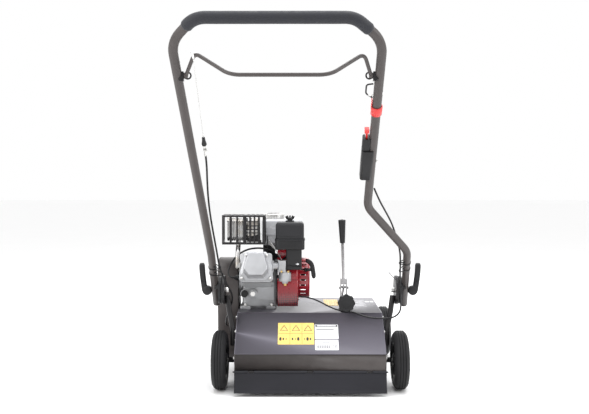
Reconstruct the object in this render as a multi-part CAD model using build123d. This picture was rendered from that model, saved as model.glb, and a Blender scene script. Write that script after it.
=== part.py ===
from build123d import *
from math import cos, pi, radians, sin, tan
import os

# Petrol lawn scarifier, walk-behind.  Millimetres.
# Origin: on the ground under the middle of the deck.
# +X is the operator's right, +Y is forward, +Z is up.
os.makedirs("parts", exist_ok=True)

# ---------------------------------------------------------------- driving sizes
DECK_HALF = 257.5          # half the deck's width
SHEET = 3.0                # deck sheet and side plates
DECK_TOP = 257.0
LIP_BOTTOM = 78.0
LIP_TOP = 140.0
DECK_REAR = -300.0
SLOPE_TOP_Y = -156.0
DECK_FRONT = 300.0
NOSE_TOP_Y = 217.0
NOSE_Z = 190.0
LINK_SLOT_Y = (22.0, 150.0)  # opening in the deck's top that the lift link works in

WHEEL_R = 101.5
WHEEL_IN, WHEEL_OUT = 288.0, 338.0
REAR_Y = -212.0
FRONT_Y = 341.0
AXLE_R = 6.0
RUN = 0.06                 # radial running clearance

LIFT_Y, LIFT_Z = 285.0, 120.0      # pivot of the front axle carrier
LEVER_X, LEVER_Y, LEVER_Z = 124.0, -90.0, 280.0
CRANK_ARM = 60.0                   # lever pivot to link pin, and the carrier's crank: equal and parallel
LEVER_TIP_Z = 585.0
KNOB_X, KNOB_Y, KNOB_Z, KNOB_R = 128.4, -180.0, 295.6, 31.0

ROTOR_Y, ROTOR_Z, BLADE_R = 20.0, 130.0, 104.0
BLADE_COUNT, BLADE_PITCH = 16, 29.0

CRANK_Y, CRANK_Z = 5.0, 363.0
CYLINDER_TILT = 20.0
HEAD_X = -190.0
PTO_X, FAN_X0, FAN_X1, RECOIL_X1 = -260.0, -117.0, -41.0, 2.0
BELT_X = -300.0
ENGINE_PULLEY_R, ROTOR_PULLEY_R = 35.0, 42.0

PIVOT_X, PIVOT_Y, PIVOT_Z = 332.0, -200.0, 345.0
HANDLE_ANGLE = 44.5                # handle plane above the horizontal
TUBE_R, TUBE_WALL = 12.7, 2.0
DISC_R, TEETH = 50.0, 36    # toothed discs that lock the handle's angle
BAIL_Y, BAIL_Z = -868.0, 1000.0
BAIL_R = 5.0
CLUTCH_CABLE_R = 3.0
THROTTLE_CABLE_R = 2.8

ROUTES = {}                # centre lines of the cables, for the bands that hold them


# ---------------------------------------------------------------- helpers
def save(name, *solids):
    """Write one node."""
    shape = solids[0] if len(solids) == 1 else Compound(children=list(solids))
    export_step(shape, f"parts/{name}.step")
    print(name, round(shape.volume / 1000, 1), "cm3")


def block(xs, ys, zs):
    """Box from its limits along each axis."""
    mid = [(a + b) / 2 for a, b in (xs, ys, zs)]
    return Pos(*mid) * Box(xs[1] - xs[0], ys[1] - ys[0], zs[1] - zs[0])


def rod_x(r, x0, x1, y, z):
    return Pos((x0 + x1) / 2, y, z) * Rot(0, 90, 0) * Cylinder(r, abs(x1 - x0))


def rod_y(r, y0, y1, x, z):
    return Pos(x, (y0 + y1) / 2, z) * Rot(90, 0, 0) * Cylinder(r, abs(y1 - y0))


def rod_z(r, z0, z1, x, y):
    return Pos(x, y, (z0 + z1) / 2) * Cylinder(r, abs(z1 - z0))


def ring_x(outer, inner, x0, x1, y, z):
    return rod_x(outer, x0, x1, y, z) - rod_x(inner, x0 - 1, x1 + 1, y, z)


def ring_z(outer, inner, z0, z1, x, y):
    return rod_z(outer, z0, z1, x, y) - rod_z(inner, z0 - 1, z1 + 1, x, y)


def slab_x(face, x0, x1):
    """Sketch drawn in (Y, Z), made solid from x0 to x1."""
    return extrude(Plane.YZ.offset(x0) * face, x1 - x0)


def outline(*points):
    return make_face(Polyline(*points, close=True))


def rounded(xs, ys, zs, r, axis=Axis.Z):
    """Box with rounded edges along one axis."""
    body = block(xs, ys, zs)
    return fillet(body.edges().filter_by(axis), r)


def along(points, bends, radius, inner=0.0):
    """Round bar or tube along straight runs joined by tangent arcs."""
    path = FilletPolyline(*points, radius=bends) if len(points) > 2 else Line(*points)
    section = Circle(radius) - Circle(inner) if inner else Circle(radius)
    return sweep(Plane(origin=path @ 0, z_dir=path % 0) * section, path=path)


def natural_bends(points):
    """Largest easy radius at each corner: 0.45 of the shorter run over tan(half the turn)."""
    radii = []
    for a, b, c in zip(points, points[1:], points[2:]):
        u, v = Vector(*b) - Vector(*a), Vector(*c) - Vector(*b)
        radii.append(0.45 * min(u.length, v.length) / tan(radians(u.get_angle(v) / 2)))
    return radii


def cord(points, radius, name="cord"):
    """Cable along its route, with the largest easy arcs."""
    radii = natural_bends(points)
    solid = along(points, radii, radius)
    ROUTES[name] = FilletPolyline(*points, radius=radii)
    share = solid.volume / (pi * radius ** 2 * ROUTES[name].length)
    print(f"   {name} {ROUTES[name].length:.0f} long, volume share {share:.3f}")
    print("   bend radii", [round(r) for r in radii])
    return solid


def hex_x(flats, x0, x1, y, z):
    """Hexagonal nut or bolt head with its axis along X."""
    face = Pos(y, z) * RegularPolygon(flats / 2, 6, major_radius=False)
    return slab_x(face, x0, x1)


def hex_z(flats, z0, z1, x, y):
    return Pos(x, y, z0) * extrude(RegularPolygon(flats / 2, 6, major_radius=False), z1 - z0)


# ---------------------------------------------------------------- deck
def deck_profile(inset):
    """Outer line of the folded deck sheet, moved inwards by inset."""
    i = inset
    return [
        (DECK_REAR + i, LIP_BOTTOM), (DECK_REAR + i, LIP_TOP - 0.4 * i),
        (SLOPE_TOP_Y + 0.35 * i, DECK_TOP - i), (NOSE_TOP_Y - 0.35 * i, DECK_TOP - i),
        (DECK_FRONT - i, NOSE_Z - 0.4 * i), (DECK_FRONT - i, LIP_BOTTOM)]


def make_deck():
    half = DECK_HALF - SHEET
    shell = slab_x(outline(*deck_profile(0)), -half, half)
    shell -= slab_x(outline(*deck_profile(SHEET)), -half - 1, half + 1)
    link_slot = block((LEVER_X - 9, LEVER_X + 9), LINK_SLOT_Y, (DECK_TOP - 9, DECK_TOP + 1))
    pieces = [shell - link_slot]
    for side in (-1, 1):
        x0, x1 = sorted((side * half, side * DECK_HALF))
        plate = slab_x(outline(*deck_profile(0)), x0, x1)
        plate -= rod_x(AXLE_R + 3, x0 - 1, x1 + 1, REAR_Y, WHEEL_R)
        plate -= rod_x(14.0, x0 - 1, x1 + 1, ROTOR_Y, ROTOR_Z)
        plate -= rod_x(10.0 + RUN, x0 - 1, x1 + 1, LIFT_Y, LIFT_Z)
        pieces.append(plate)
    save("deck_housing", *pieces)


def make_flap():
    """Rubber flap hung on a rod along the lower edge of the rear lip."""
    hinge_y, hinge_z = DECK_REAR - 5.4, LIP_BOTTOM + 2
    knuckle_xs = (-200, 0, 200)
    sheet = outline((hinge_y + 2, hinge_z), (hinge_y - 2, hinge_z), (-327, 12), (-323, 11))
    flap = slab_x(sheet, -257, 257) + rod_x(4.6, -257, 257, hinge_y, hinge_z)
    flap -= rod_x(2.5 + RUN, -260, 260, hinge_y, hinge_z)
    rod = rod_x(2.5, -262, 262, hinge_y, hinge_z)
    for x in knuckle_xs:
        flap -= block((x - 9, x + 9), (hinge_y - 7, hinge_y + 7), (hinge_z - 7, hinge_z + 7))
        knuckle = block((x - 7, x + 7), (hinge_y, DECK_REAR - 0.02), (hinge_z - 3.5, hinge_z + 3.5))
        rod += knuckle + rod_x(3.5, x - 7, x + 7, hinge_y, hinge_z)
    save("rear_flap", flap)
    save("flap_rod", rod)


def make_rotor():
    y, z = ROTOR_Y, ROTOR_Z
    blades, spacers = [], []
    first = -BLADE_PITCH * (BLADE_COUNT - 1) / 2
    tip, twist = BLADE_R, 47.5
    for i in range(BLADE_COUNT):
        x = first + i * BLADE_PITCH
        blade = outline((-tip, 10), (-tip + 26, 19), (tip - 26, 19), (tip, 26), (tip, 10),
                        (tip - 26, -19), (-tip + 26, -19), (-tip, -4))
        blade = slab_x(blade, -1.5, 1.5) & rod_x(tip, -2, 2, 0, 0)
        blade = Pos(x, y, z) * Rot(20 + i * twist, 0, 0) * blade
        blades.append(blade - rod_x(12, x - 3, x + 3, y, z))
        if i < BLADE_COUNT - 1:
            spacers.append(ring_x(17, 12, x + 1.5, x + BLADE_PITCH - 1.5, y, z))
    end = first - 1.5
    spacers.append(ring_x(17, 12, -240, end, y, z))
    spacers.append(ring_x(17, 12, -end, 240, y, z))
    save("rotor_blades", *blades)
    save("rotor_shaft", rod_x(12, -318, 262, y, z), *spacers)
    housings = []
    for side in (-1, 1):
        x0, x1 = sorted((side * 242, side * (DECK_HALF - SHEET)))
        housings.append(ring_x(27, 12 + RUN, x0, x1, y, z))
    save("rotor_bearings", *housings)


def pulley(radius, bore, x):
    """V-belt pulley, 20 wide, its groove centred on x."""
    body = rod_x(radius, x - 10, x + 10, 0, 0)
    vee = outline((x - 7, radius + 0.5), (x + 7, radius + 0.5), (x + 4.4, radius - 9), (x - 4.4, radius - 9))
    groove = revolve(Plane.XY * vee, Axis.X)
    return body - groove - rod_x(bore, x - 11, x + 11, 0, 0)


def loop_face(r1, c1, r2, c2):
    """Face bounded by two circles and their outer tangents."""
    return make_hull(Edge.make_circle(r1).moved(Location((*c1, 0))).edges()
                     + Edge.make_circle(r2).moved(Location((*c2, 0))).edges())


def belt_loop(grow):
    crank, rotor = (CRANK_Y, CRANK_Z), (ROTOR_Y, ROTOR_Z)
    return loop_face(ENGINE_PULLEY_R + grow, crank, ROTOR_PULLEY_R + grow, rotor)


IDLER_Y, IDLER_Z, IDLER_R = 21.0, 245.0, 18.0
IDLER_PIVOT_Y, IDLER_PIVOT_Z = 18.0, 190.0


def make_belt_drive():
    save("engine_pulley", Pos(0, CRANK_Y, CRANK_Z) * pulley(ENGINE_PULLEY_R, 9.5, BELT_X))
    save("rotor_pulley", Pos(0, ROTOR_Y, ROTOR_Z) * pulley(ROTOR_PULLEY_R, 12, BELT_X))
    belt = slab_x(belt_loop(0.5), BELT_X - 4, BELT_X + 4) - slab_x(belt_loop(-8), BELT_X - 5, BELT_X + 5)
    save("drive_belt", belt)
    arm = slab_x(loop_face(9, (IDLER_PIVOT_Y, IDLER_PIVOT_Z), 8, (IDLER_Y, IDLER_Z)), -285, -281)
    arm -= rod_x(4 + RUN, -290, -270, IDLER_PIVOT_Y, IDLER_PIVOT_Z)
    arm += rod_x(5, -311, -285, IDLER_Y, IDLER_Z)
    save("idler_arm", arm)
    save("idler_pulley", ring_x(IDLER_R, 5 + RUN, -309, -291, IDLER_Y, IDLER_Z))
    top, low = (CRANK_Y, CRANK_Z), (ROTOR_Y, ROTOR_Z)
    cover = slab_x(loop_face(77, top, 75, low), -336, -262)
    cover = fillet(cover.faces().sort_by(Axis.X)[0].edges(), 7)
    cover -= slab_x(loop_face(75, top, 73, low), -334, -261)
    back = slab_x(loop_face(75, top, 73, low), -262, -260.05)
    back -= rod_x(14, -270, -250, CRANK_Y, CRANK_Z) + rod_x(16, -270, -250, ROTOR_Y, ROTOR_Z)
    pin = rod_x(4, -288, -262, IDLER_PIVOT_Y, IDLER_PIVOT_Z)
    pin += rod_x(7, -290, -286, IDLER_PIVOT_Y, IDLER_PIVOT_Z)
    save("belt_cover", cover, back + pin)


# ---------------------------------------------------------------- wheels and axles
def make_wheel(name, side, y):
    x0, x1 = sorted((side * WHEEL_IN, side * WHEEL_OUT))
    mid, z = (x0 + x1) / 2, WHEEL_R
    half = (x1 - x0) / 2
    crown = outline((mid - half, 62), (mid - half, 84), (mid - half + 5, 96), (mid - half + 12, WHEEL_R),
                    (mid + half - 12, WHEEL_R), (mid + half - 5, 96), (mid + half, 84), (mid + half, 62))
    tyre = revolve(Plane.XY * crown, Axis.X)
    for i in (-1, 0, 1):
        tyre -= ring_x(WHEEL_R + 1, WHEEL_R - 3, mid + i * 9 - 1.3, mid + i * 9 + 1.3, 0, 0)
    rim = ring_x(61.95, 55, x0 + 2, x1 - 2, 0, 0) + ring_x(55, 20, mid - 3, mid + 3, 0, 0)
    rim += rod_x(20, x0 - 1, x1 + 1, 0, 0)
    for i in range(8):
        spoke = block((mid - 14, mid + 14), (-2, 2), (18, 56))
        rim += Rot(i * 45, 0, 0) * spoke
    rim -= rod_x(AXLE_R + RUN, x0 - 5, x1 + 5, 0, 0)
    save(f"{name}_wheel", Pos(0, y, z) * tyre, Pos(0, y, z) * rim)


def axle_nuts(y):
    """Nut at each end of an axle, just outside its wheels."""
    inner, outer = WHEEL_OUT + 2, WHEEL_OUT + 8
    pair = [hex_x(19, -outer, -inner, y, WHEEL_R), hex_x(19, inner, outer, y, WHEEL_R)]
    return [nut - rod_x(AXLE_R, -outer - 4, outer + 4, y, WHEEL_R) for nut in pair]


def make_running_gear():
    for name, side, y in (("rear_left", -1, REAR_Y), ("rear_right", 1, REAR_Y),
                          ("front_left", -1, FRONT_Y), ("front_right", 1, FRONT_Y)):
        make_wheel(name, side, y)
    axle = rod_x(AXLE_R, -347, 347, REAR_Y, WHEEL_R) + rod_x(AXLE_R + 3, -284, 284, REAR_Y, WHEEL_R)
    save("rear_axle", axle, *axle_nuts(REAR_Y))
    carrier = rod_x(10, -266, 266, LIFT_Y, LIFT_Z)
    for side in (-1, 1):
        x0, x1 = sorted((side * 260, side * 266))
        carrier += slab_x(loop_face(16, (LIFT_Y, LIFT_Z), 13, (FRONT_Y, WHEEL_R)), x0, x1)
        x0, x1 = sorted((side * 266, side * 347))
        carrier += rod_x(AXLE_R, x0, x1, FRONT_Y, WHEEL_R)
        x0, x1 = sorted((side * 266, side * 284))
        carrier += rod_x(AXLE_R + 3, x0, x1, FRONT_Y, WHEEL_R)
    crank_x = LEVER_X + 3
    crank = loop_face(11.5, (LIFT_Y, LIFT_Z), 9, (LIFT_Y, LIFT_Z + CRANK_ARM))
    carrier += slab_x(crank, crank_x, crank_x + 5)
    carrier += rod_x(4, LEVER_X - 8, crank_x, LIFT_Y, LIFT_Z + CRANK_ARM)
    save("front_axle_carrier", carrier, *axle_nuts(FRONT_Y))


# ---------------------------------------------------------------- depth control
def make_depth_control():
    x, y, z = LEVER_X, LEVER_Y, LEVER_Z
    pin_z = z + CRANK_ARM
    bar = loop_face(8, (y, pin_z), 8, (LIFT_Y, LIFT_Z + CRANK_ARM))
    link = slab_x(bar, x - 2.5, x + 2.5)
    link -= rod_x(4 + RUN, x - 5, x + 5, y, pin_z) + rod_x(4 + RUN, x - 5, x + 5, LIFT_Y, LIFT_Z + CRANK_ARM)
    save("lift_link", link)
    lever = rod_x(4, x - 9, x + 9, y, pin_z)
    for side in (-1, 1):
        x0, x1 = sorted((x + side * 9, x + side * 12.5))
        cheek = slab_x(loop_face(12, (y, z), 9, (y, z + 86)), x0, x1)
        lever += cheek - rod_x(5 + RUN, x0 - 1, x1 + 1, y, z)
    lever += block((x - 9, x + 9), (y - 8, y + 8), (pin_z + 10, pin_z + 30))
    stem = along([(x - 0.5, y, pin_z + 20), (x - 6.5, y, LEVER_TIP_Z)], None, 5)
    heads = hex_x(13, x - 18, x - 12.5, y, pin_z) + hex_x(13, x + 12.5, x + 18, y, pin_z)
    grip_axis = Plane(origin=(x - 4.4, y, LEVER_TIP_Z - 85), z_dir=Vector(-6, 0, 226))
    sections = ((0, 9.2), (45, 11.5), (84, 13.6))
    grip = loft([grip_axis.offset(height) * Circle(radius) for height, radius in sections])
    grip = fillet(grip.edges().group_by(Axis.Z)[-1], 3) - stem
    save("height_lever", lever + stem, grip, *heads.solids())
    base = block((x - 19, x + 19), (y - 22, y + 22), (DECK_TOP, DECK_TOP + 3))
    for side in (-1, 1):
        x0, x1 = sorted((x + side * 13.2, x + side * 16.2))
        ear = block((x0, x1), (y - 13, y + 13), (DECK_TOP + 3, z)) + rod_x(13, x0, x1, y, z)
        base += ear
    base += rod_x(5, x - 20, x + 20, y, z)
    plate = block((KNOB_X - 17, KNOB_X + 17), (-150, -146), (DECK_TOP, KNOB_Z + 14))
    plate += block((KNOB_X - 17, KNOB_X + 17), (-146, -124), (DECK_TOP, DECK_TOP + 4))
    plate += rod_y(9, -146, -137, KNOB_X, KNOB_Z)
    save("depth_brackets", base, plate - rod_y(5 + RUN, -160, -130, KNOB_X, KNOB_Z))
    knob = rod_y(KNOB_R - 3, -192, -170, KNOB_X, KNOB_Z) + rod_y(13, -170, -162, KNOB_X, KNOB_Z)
    lobe_r = 8.5
    for i in range(8):
        lobe_x = KNOB_X + (KNOB_R - lobe_r) * cos(i * pi / 4)
        lobe_z = KNOB_Z + (KNOB_R - lobe_r) * sin(i * pi / 4)
        knob += rod_y(lobe_r, -191, -171, lobe_x, lobe_z)
    knob -= rod_y(18, -193, -190, KNOB_X, KNOB_Z) + rod_y(5, -175, -160, KNOB_X, KNOB_Z)
    save("depth_knob", knob, rod_y(5, -175, -126, KNOB_X, KNOB_Z))


# ---------------------------------------------------------------- engine
BARREL = Plane(origin=(HEAD_X, CRANK_Y, CRANK_Z), x_dir=(1, 0, 0),
               z_dir=(0, -cos(radians(CYLINDER_TILT)), sin(radians(CYLINDER_TILT))))
HEAD_START, HEAD_END, COVER_END = 130.0, 168.0, 212.0
AIR_X0, AIR_X1, AIR_Y0, AIR_Y1 = -123.0, -18.0, -150.0, -42.0
AIR_SEAM, AIR_TOP = 517.0, 577.0
CARB_X, CARB_Y, CARB_Z = -88.0, -125.0, 420.0
TANK_X0, TANK_X1, TANK_Y0, TANK_Y1, TANK_Z0, TANK_Z1 = -178.0, -24.0, -6.0, 150.0, 484.0, 582.0
CAP_X, CAP_Y, CAP_R = -134.0, 62.0, 40.0
GUARD_X, GUARD_Y, GUARD_Z = (-313.0, -159.0), (-130.0, -30.0), (497.0, 602.0)
MUFFLER_Z = (508.0, 590.0)
GRIP_X, GRIP_Y, GRIP_Z = -5.0, -88.0, 402.0


def make_crankcase():
    case = rounded((-246, -118), (-62, 90), (267, 432), 14)
    case += rod_x(68, -258, -246, CRANK_Y, CRANK_Z) & block((-260, -240), (-90, 90), (268, 440))
    case += rod_x(24, PTO_X, -258, CRANK_Y, CRANK_Z)
    base = rounded((-252, -120), (-80, 108), (DECK_TOP, 268), 8)
    base -= block((-215, -157), (-90, -56), (250, 270)) + block((-215, -157), (84, 120), (250, 270))
    case += base
    case += rod_y(16, -68, -60, -236, 313) + rod_y(17, -72, -60, -206, 313) + rod_y(9, -77, -72, -206, 313)
    for z in (288, 336, 352):
        case += block((-186, -128), (-64.5, -61), (z, z + 4))
    case -= rod_x(9.5 + RUN, -262, -110, CRANK_Y, CRANK_Z)
    case -= rod_y(6, -75, -30, -236, 313)
    case -= BARREL * Pos(0, 0, 100) * Cylinder(28, 200)
    fins = [Pos(0, 0, 72 + 8 * i) * extrude(RectangleRounded(112, 106, 12), 2.6) for i in range(7)]
    barrel = Pos(0, 0, 92.5) * Cylinder(37, 75) + fins
    barrel = BARREL * (barrel - Cylinder(28, 400))
    case += barrel - block((-246, -118), (-62, 90), (260, 432))
    save("crankcase", case.solids().sort_by(SortBy.VOLUME)[-1])


def head_outline(grow=0.0):
    g = grow
    right = [(36 + g, 52 + g), (58 + g, -18), (60 + g, -46 - g), (50 + g, -56 - g)]
    return right + [(-x, v) for x, v in reversed(right)]


def cover_outline(grow=0.0):
    g = grow
    right = [(30 + g, 46 + g), (45 + g, -8), (45 + g, -24 - g), (28 + g, -44 - g)]
    return right + [(-x, v) for x, v in reversed(right)]


def make_head():
    block_face = extrude(RectangleRounded(112, 104, 10), HEAD_END - HEAD_START - 10)
    head = Pos(0, 0, HEAD_START) * block_face
    for i in range(3):
        head -= Pos(0, 0, HEAD_START + 6 + 8 * i) * (Box(130, 120, 3.4) - Box(92, 84, 4))
    flange = fillet(extrude(outline(*head_outline()), 10).edges().filter_by(Axis.Z), 7)
    head += Pos(0, 0, HEAD_END - 10) * flange
    save("cylinder_head", BARREL * head)
    skirt = extrude(outline(*cover_outline(7)), 5)
    skirt = fillet(skirt.edges().filter_by(Axis.Z), 8)
    dome = loft([outline(*cover_outline(0)), Pos(0, 0, COVER_END - HEAD_END) * outline(*cover_outline(-4))])
    dome = fillet(dome.edges().group_by(Axis.Z)[-1], 5)
    save("valve_cover", BARREL * (Pos(0, 0, HEAD_END) * (skirt + dome)))
    bolts = []
    for x, v in ((-50, -44), (50, -44), (-37, 40), (37, 40)):
        bolts.append(BARREL * (Pos(x, v, HEAD_END + 5) * extrude(RegularPolygon(5, 6), 6)))
    for a in range(6):
        y, z = CRANK_Y + 60 * cos(a * pi / 3 + 0.5), CRANK_Z + 60 * sin(a * pi / 3 + 0.5)
        bolts.append(hex_x(10, -259.9, -258, y, z))
    for x in (-234, -138):
        for y in (-71, 99):
            bolts.append(hex_z(12, 268, 275, x, y))
    save("engine_bolts", *bolts)


def make_blower():
    y, z = CRANK_Y, CRANK_Z
    floor = block((-130, 20), (-140, 140), (272, 500))
    cover = rod_x(105, FAN_X0 + 0.1, FAN_X1, y, z)
    cover = fillet(cover.faces().sort_by(Axis.X)[-1].edges(), 8)
    skirt = rounded((FAN_X0 + 0.1, FAN_X1), (-104, -30), (272, 366), 6, Axis.Z)
    cover = (cover + skirt) & floor
    inside = rod_x(102, FAN_X0 - 1, FAN_X1 - 3, y, z)
    inside += block((FAN_X0 - 1, FAN_X1 - 3), (-101, -30), (275, 366))
    cover -= inside & block((-130, 20), (-140, 140), (275, 500))
    cover -= rod_x(60, -50, -30, y, z)
    cover = cover - block((-118, -100), (-150, -66), (372, 480))
    save("fan_cover", cover.solids().sort_by(SortBy.VOLUME)[-1])
    recoil = rod_x(75, FAN_X1, RECOIL_X1, y, z)
    recoil = fillet(recoil.faces().sort_by(Axis.X)[-1].edges(), 9)
    recoil -= rod_x(72, FAN_X1 - 1, RECOIL_X1 - 3, y, z)
    for i in range(18):
        slot = Rot(i * 20, 0, 0) * block((-5, 5), (-2.6, 2.6), (44, 60))
        recoil -= Pos(RECOIL_X1, y, z) * slot
    for i in range(24):
        vent = Rot(i * 15, 0, 0) * block((-34, -14), (-3, 3), (65, 80))
        recoil -= Pos(RECOIL_X1, y, z) * vent
    recoil -= rod_y(7.05, -90, -40, GRIP_X - 8, GRIP_Z)
    eyelet_x = GRIP_X - 8
    eyelet = rod_y(7, -77, -48, eyelet_x, GRIP_Z) - rod_y(2.4, -80, -40, eyelet_x, GRIP_Z)
    pulley_reel = ring_x(44, 8 + RUN, -31, -15, y, z) - ring_x(45, 38, -27, -19, y, z)
    save("recoil_reel", pulley_reel)
    save("recoil_housing", recoil + rod_x(8, -34, RECOIL_X1 - 2, y, z), eyelet)
    grip = along([(eyelet_x - 2, GRIP_Y, GRIP_Z + 32), (eyelet_x + 16, GRIP_Y, GRIP_Z + 22),
                  (eyelet_x + 27, GRIP_Y, GRIP_Z - 30)], 20, 8.5)
    hub = rod_y(7, GRIP_Y - 5, GRIP_Y + 9, eyelet_x, GRIP_Z) + block(
        (eyelet_x, eyelet_x + 16), (GRIP_Y - 5, GRIP_Y + 5), (GRIP_Z - 6, GRIP_Z + 6))
    grip = grip + hub - rod_y(2.05, GRIP_Y - 10, GRIP_Y + 12, eyelet_x, GRIP_Z)
    save("starter_grip", grip)
    save("starter_rope", rod_y(2, GRIP_Y - 3, -50, eyelet_x, GRIP_Z))
    shaft = rod_x(9.5, -318, -60, y, z)
    wheel = rod_x(88, -108, -96, y, z) + rod_x(30, -96, -72, y, z)
    for i in range(16):
        vane = Rot(i * 22.5, 0, 0) * block((-96, -74), (-1.5, 1.5), (28, 84))
        wheel += Pos(0, y, z) * vane
    save("crankshaft", shaft, wheel - rod_x(9.5, -120, -50, y, z))


def make_exhaust():
    gx, gy, gz = GUARD_X, GUARD_Y, GUARD_Z
    body = block((-296, -180), (-116, -46), MUFFLER_Z)
    body = fillet(body.edges().filter_by(Axis.X), 22)
    for i in range(9):
        body -= (block((-290 + 7 * i, -287 + 7 * i), (-120, -40), (500, 600))
                 - fillet(block((-300, -170), (-113, -49), (511, 587)).edges().filter_by(Axis.X), 20))
    guard = block(gx, gy, gz) - block((gx[0] + 2, gx[1] - 2), (gy[0] + 2, gy[1] + 1), (gz[0] + 2, gz[1] - 2))
    wide = [(-308, -286), (-278, -262), (-256, -238)]
    narrow = [(-226 + 16 * i, -216 + 16 * i) for i in range(4)]
    for x0, x1 in wide + narrow:
        guard -= block((x0, x1), (gy[0] - 1, gy[0] + 3), (gz[0] + 8, gz[1] - 7))
        guard -= block((x0, x1), (gy[0] + 12, gy[1] - 12), (gz[1] - 3, gz[1] + 1))
    for i in range(5):
        window_y = gy[0] + 8 + 19 * i
        guard -= block((gx[0] - 1, gx[1] + 1), (window_y, window_y + 11), (gz[0] + 10, gz[1] - 10))
    guard -= block((-275, -238), (-127.5, -80), (gz[0] - 1, gz[0] + 3))
    for y in (-105, -57):
        guard += block((-182, -176), (y - 4, y + 4), (gz[0] + 2, MUFFLER_Z[0]))
    save("muffler_guard", guard)
    flange_y, flange_z = CRANK_Y - 0.94 * 146, CRANK_Z + 0.342 * 146 + 6
    pipe = block((-250, -246.05), (flange_y - 14, flange_y + 14), (flange_z - 14, flange_z + 14))
    pipe += rod_x(8, -257, -249, flange_y, flange_z)
    pipe += Pos(-257, flange_y, flange_z) * Sphere(8.5)
    rise = [(-257, flange_y, flange_z), (-257, flange_y + 10, 470), (-257, -98, 490), (-257, -98, 507.9)]
    save("muffler", body, pipe + along(rise, [14, 14], 8.5))


def make_fuel_system():
    xs, ys, zs = (TANK_X0, TANK_X1), (TANK_Y0, TANK_Y1), (TANK_Z0, TANK_Z1)
    tank = block(xs, ys, zs)
    tank = fillet(tank.edges().filter_by(Axis.Z), 22)
    tank = fillet(tank.faces().sort_by(Axis.Z)[-1].edges(), 12)
    tank = fillet(tank.faces().sort_by(Axis.Z)[0].edges(), 10)
    tank += rod_z(26, TANK_Z1 - 1, TANK_Z1 + 6, CAP_X, CAP_Y)
    save("fuel_tank", tank)
    cap = rod_z(CAP_R, TANK_Z1 + 0.4, TANK_Z1 + 19, CAP_X, CAP_Y)
    cap = fillet(cap.faces().sort_by(Axis.Z)[-1].edges(), 4)
    cap -= rod_z(26.3, TANK_Z1, TANK_Z1 + 6.4, CAP_X, CAP_Y)
    for i in range(24):
        groove = Rot(0, 0, i * 15) * block((CAP_R - 1.2, CAP_R + 2), (-2, 2), (TANK_Z1, TANK_Z1 + 15))
        cap -= Pos(CAP_X, CAP_Y, 0) * groove
    save("fuel_cap", cap)
    bracket = block((-172, -30), (8, 12), (432, TANK_Z0)) + block((-172, -30), (84, 88), (432, TANK_Z0))
    bracket -= block((-160, -40), (0, 20), (446, 474)) + block((-160, -40), (80, 95), (446, 474))
    bracket = bracket & block((-172, -118), (0, 95), (430, 490))
    shelf = block((-172, -30), (8, 88), (TANK_Z0 - 4, TANK_Z0 - 0.05))
    shelf += bracket - block((-180, -20), (0, 95), (TANK_Z0 - 4, TANK_Z0 + 9))
    body = rounded((-112, -84.1), (CARB_Y - 17, CARB_Y + 19), (399, 440), 5)
    body += rod_z(22, 366, 397, CARB_X, CARB_Y) + rod_z(11, 358, 366, CARB_X, CARB_Y)
    body += rod_z(17, 397, 400, CARB_X, CARB_Y)
    manifold = rod_x(13, -133.9, -112.05, CARB_Y, CARB_Z)
    manifold += block((-133.9, -129), (CARB_Y - 17, CARB_Y + 17), (CARB_Z - 20, CARB_Z + 20))
    save("carburetor", body, manifold)
    snorkel = rounded((-84, -28), (-142, -92), (408, 480), 8)
    tray = block((AIR_X0, AIR_X1), (AIR_Y0, AIR_Y1), (479, AIR_SEAM))
    tray = fillet(tray.edges().filter_by(Axis.Z), 14)
    tray = fillet(tray.faces().sort_by(Axis.Z)[0].edges(), 5)
    lid = block((AIR_X0 + 2, AIR_X1 - 2), (AIR_Y0 + 2, AIR_Y1 - 2), (AIR_SEAM + 0.1, AIR_TOP))
    lid = fillet(lid.edges().filter_by(Axis.Z), 14)
    lid = fillet(lid.faces().sort_by(Axis.Z)[-1].edges(), 12)
    stud_x, stud_y = (AIR_X0 + AIR_X1) / 2, (AIR_Y0 + AIR_Y1) / 2
    lid += rod_z(16, AIR_TOP - 2, AIR_TOP + 5, stud_x, stud_y)
    save("air_cleaner_cover", lid - rod_z(3.1, 500, 610, stud_x, stud_y))
    save("air_cleaner_base", tray + snorkel, rod_z(3, AIR_SEAM, 600, stud_x, stud_y))
    nut = rod_z(9, AIR_TOP + 5.3, AIR_TOP + 13, stud_x, stud_y)
    for side in (-1, 1):
        nut += Pos(stud_x + side * 10, stud_y, AIR_TOP + 15) * Rot(0, side * 28, 0) * Box(11, 3.5, 13)
    save("wing_nut", nut - rod_z(3 + RUN, 570, 610, stud_x, stud_y))
    choke = block((-72, -30), (-145.5, -142.3), (412, 420)) + rod_y(7, -146, -142.3, -72, 416)
    save("choke_lever", choke)
    dip = rod_y(13, -80, -68.3, -236, 313) + rod_y(4.5, -69, -36, -236, 313)
    for i in range(6):
        dip -= Pos(-236, -76, 313) * Rot(0, i * 60, 0) * block((12, 15), (-6, 4), (-2.5, 2.5))
    save("oil_dipstick", dip)
    control = block((-170, -126), (-24, -21), (432, 486)) + block((-170, -126), (-44, -24), (432, 435))
    control += rod_y(5, -30, -24, -138, 472)
    arm = slab_x(loop_face(7, (-34, 452), 5, (-34, 516)), -156, -153)
    save("engine_brackets", shelf, control, arm + rod_x(4, -153, -144, -34, 452))
    boot = rod_x(8, -268, -252, -142, 380) + rod_x(10, -255, -246.1, -142, 380)
    lead = [(-268.1, -142, 380), (-281, -142, 381.5), (-290, -138, 390), (-291, -129, 404), (-285, -117, 423),
            (-272, -105, 444), (-250, -94, 464), (-222, -84, 477), (-188, -76, 481), (-156, -72, 477),
            (-130, -68, 465), (-112, -64, 446)]
    save("spark_lead", boot, cord(lead, 3.2, "spark_lead"))


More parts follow.
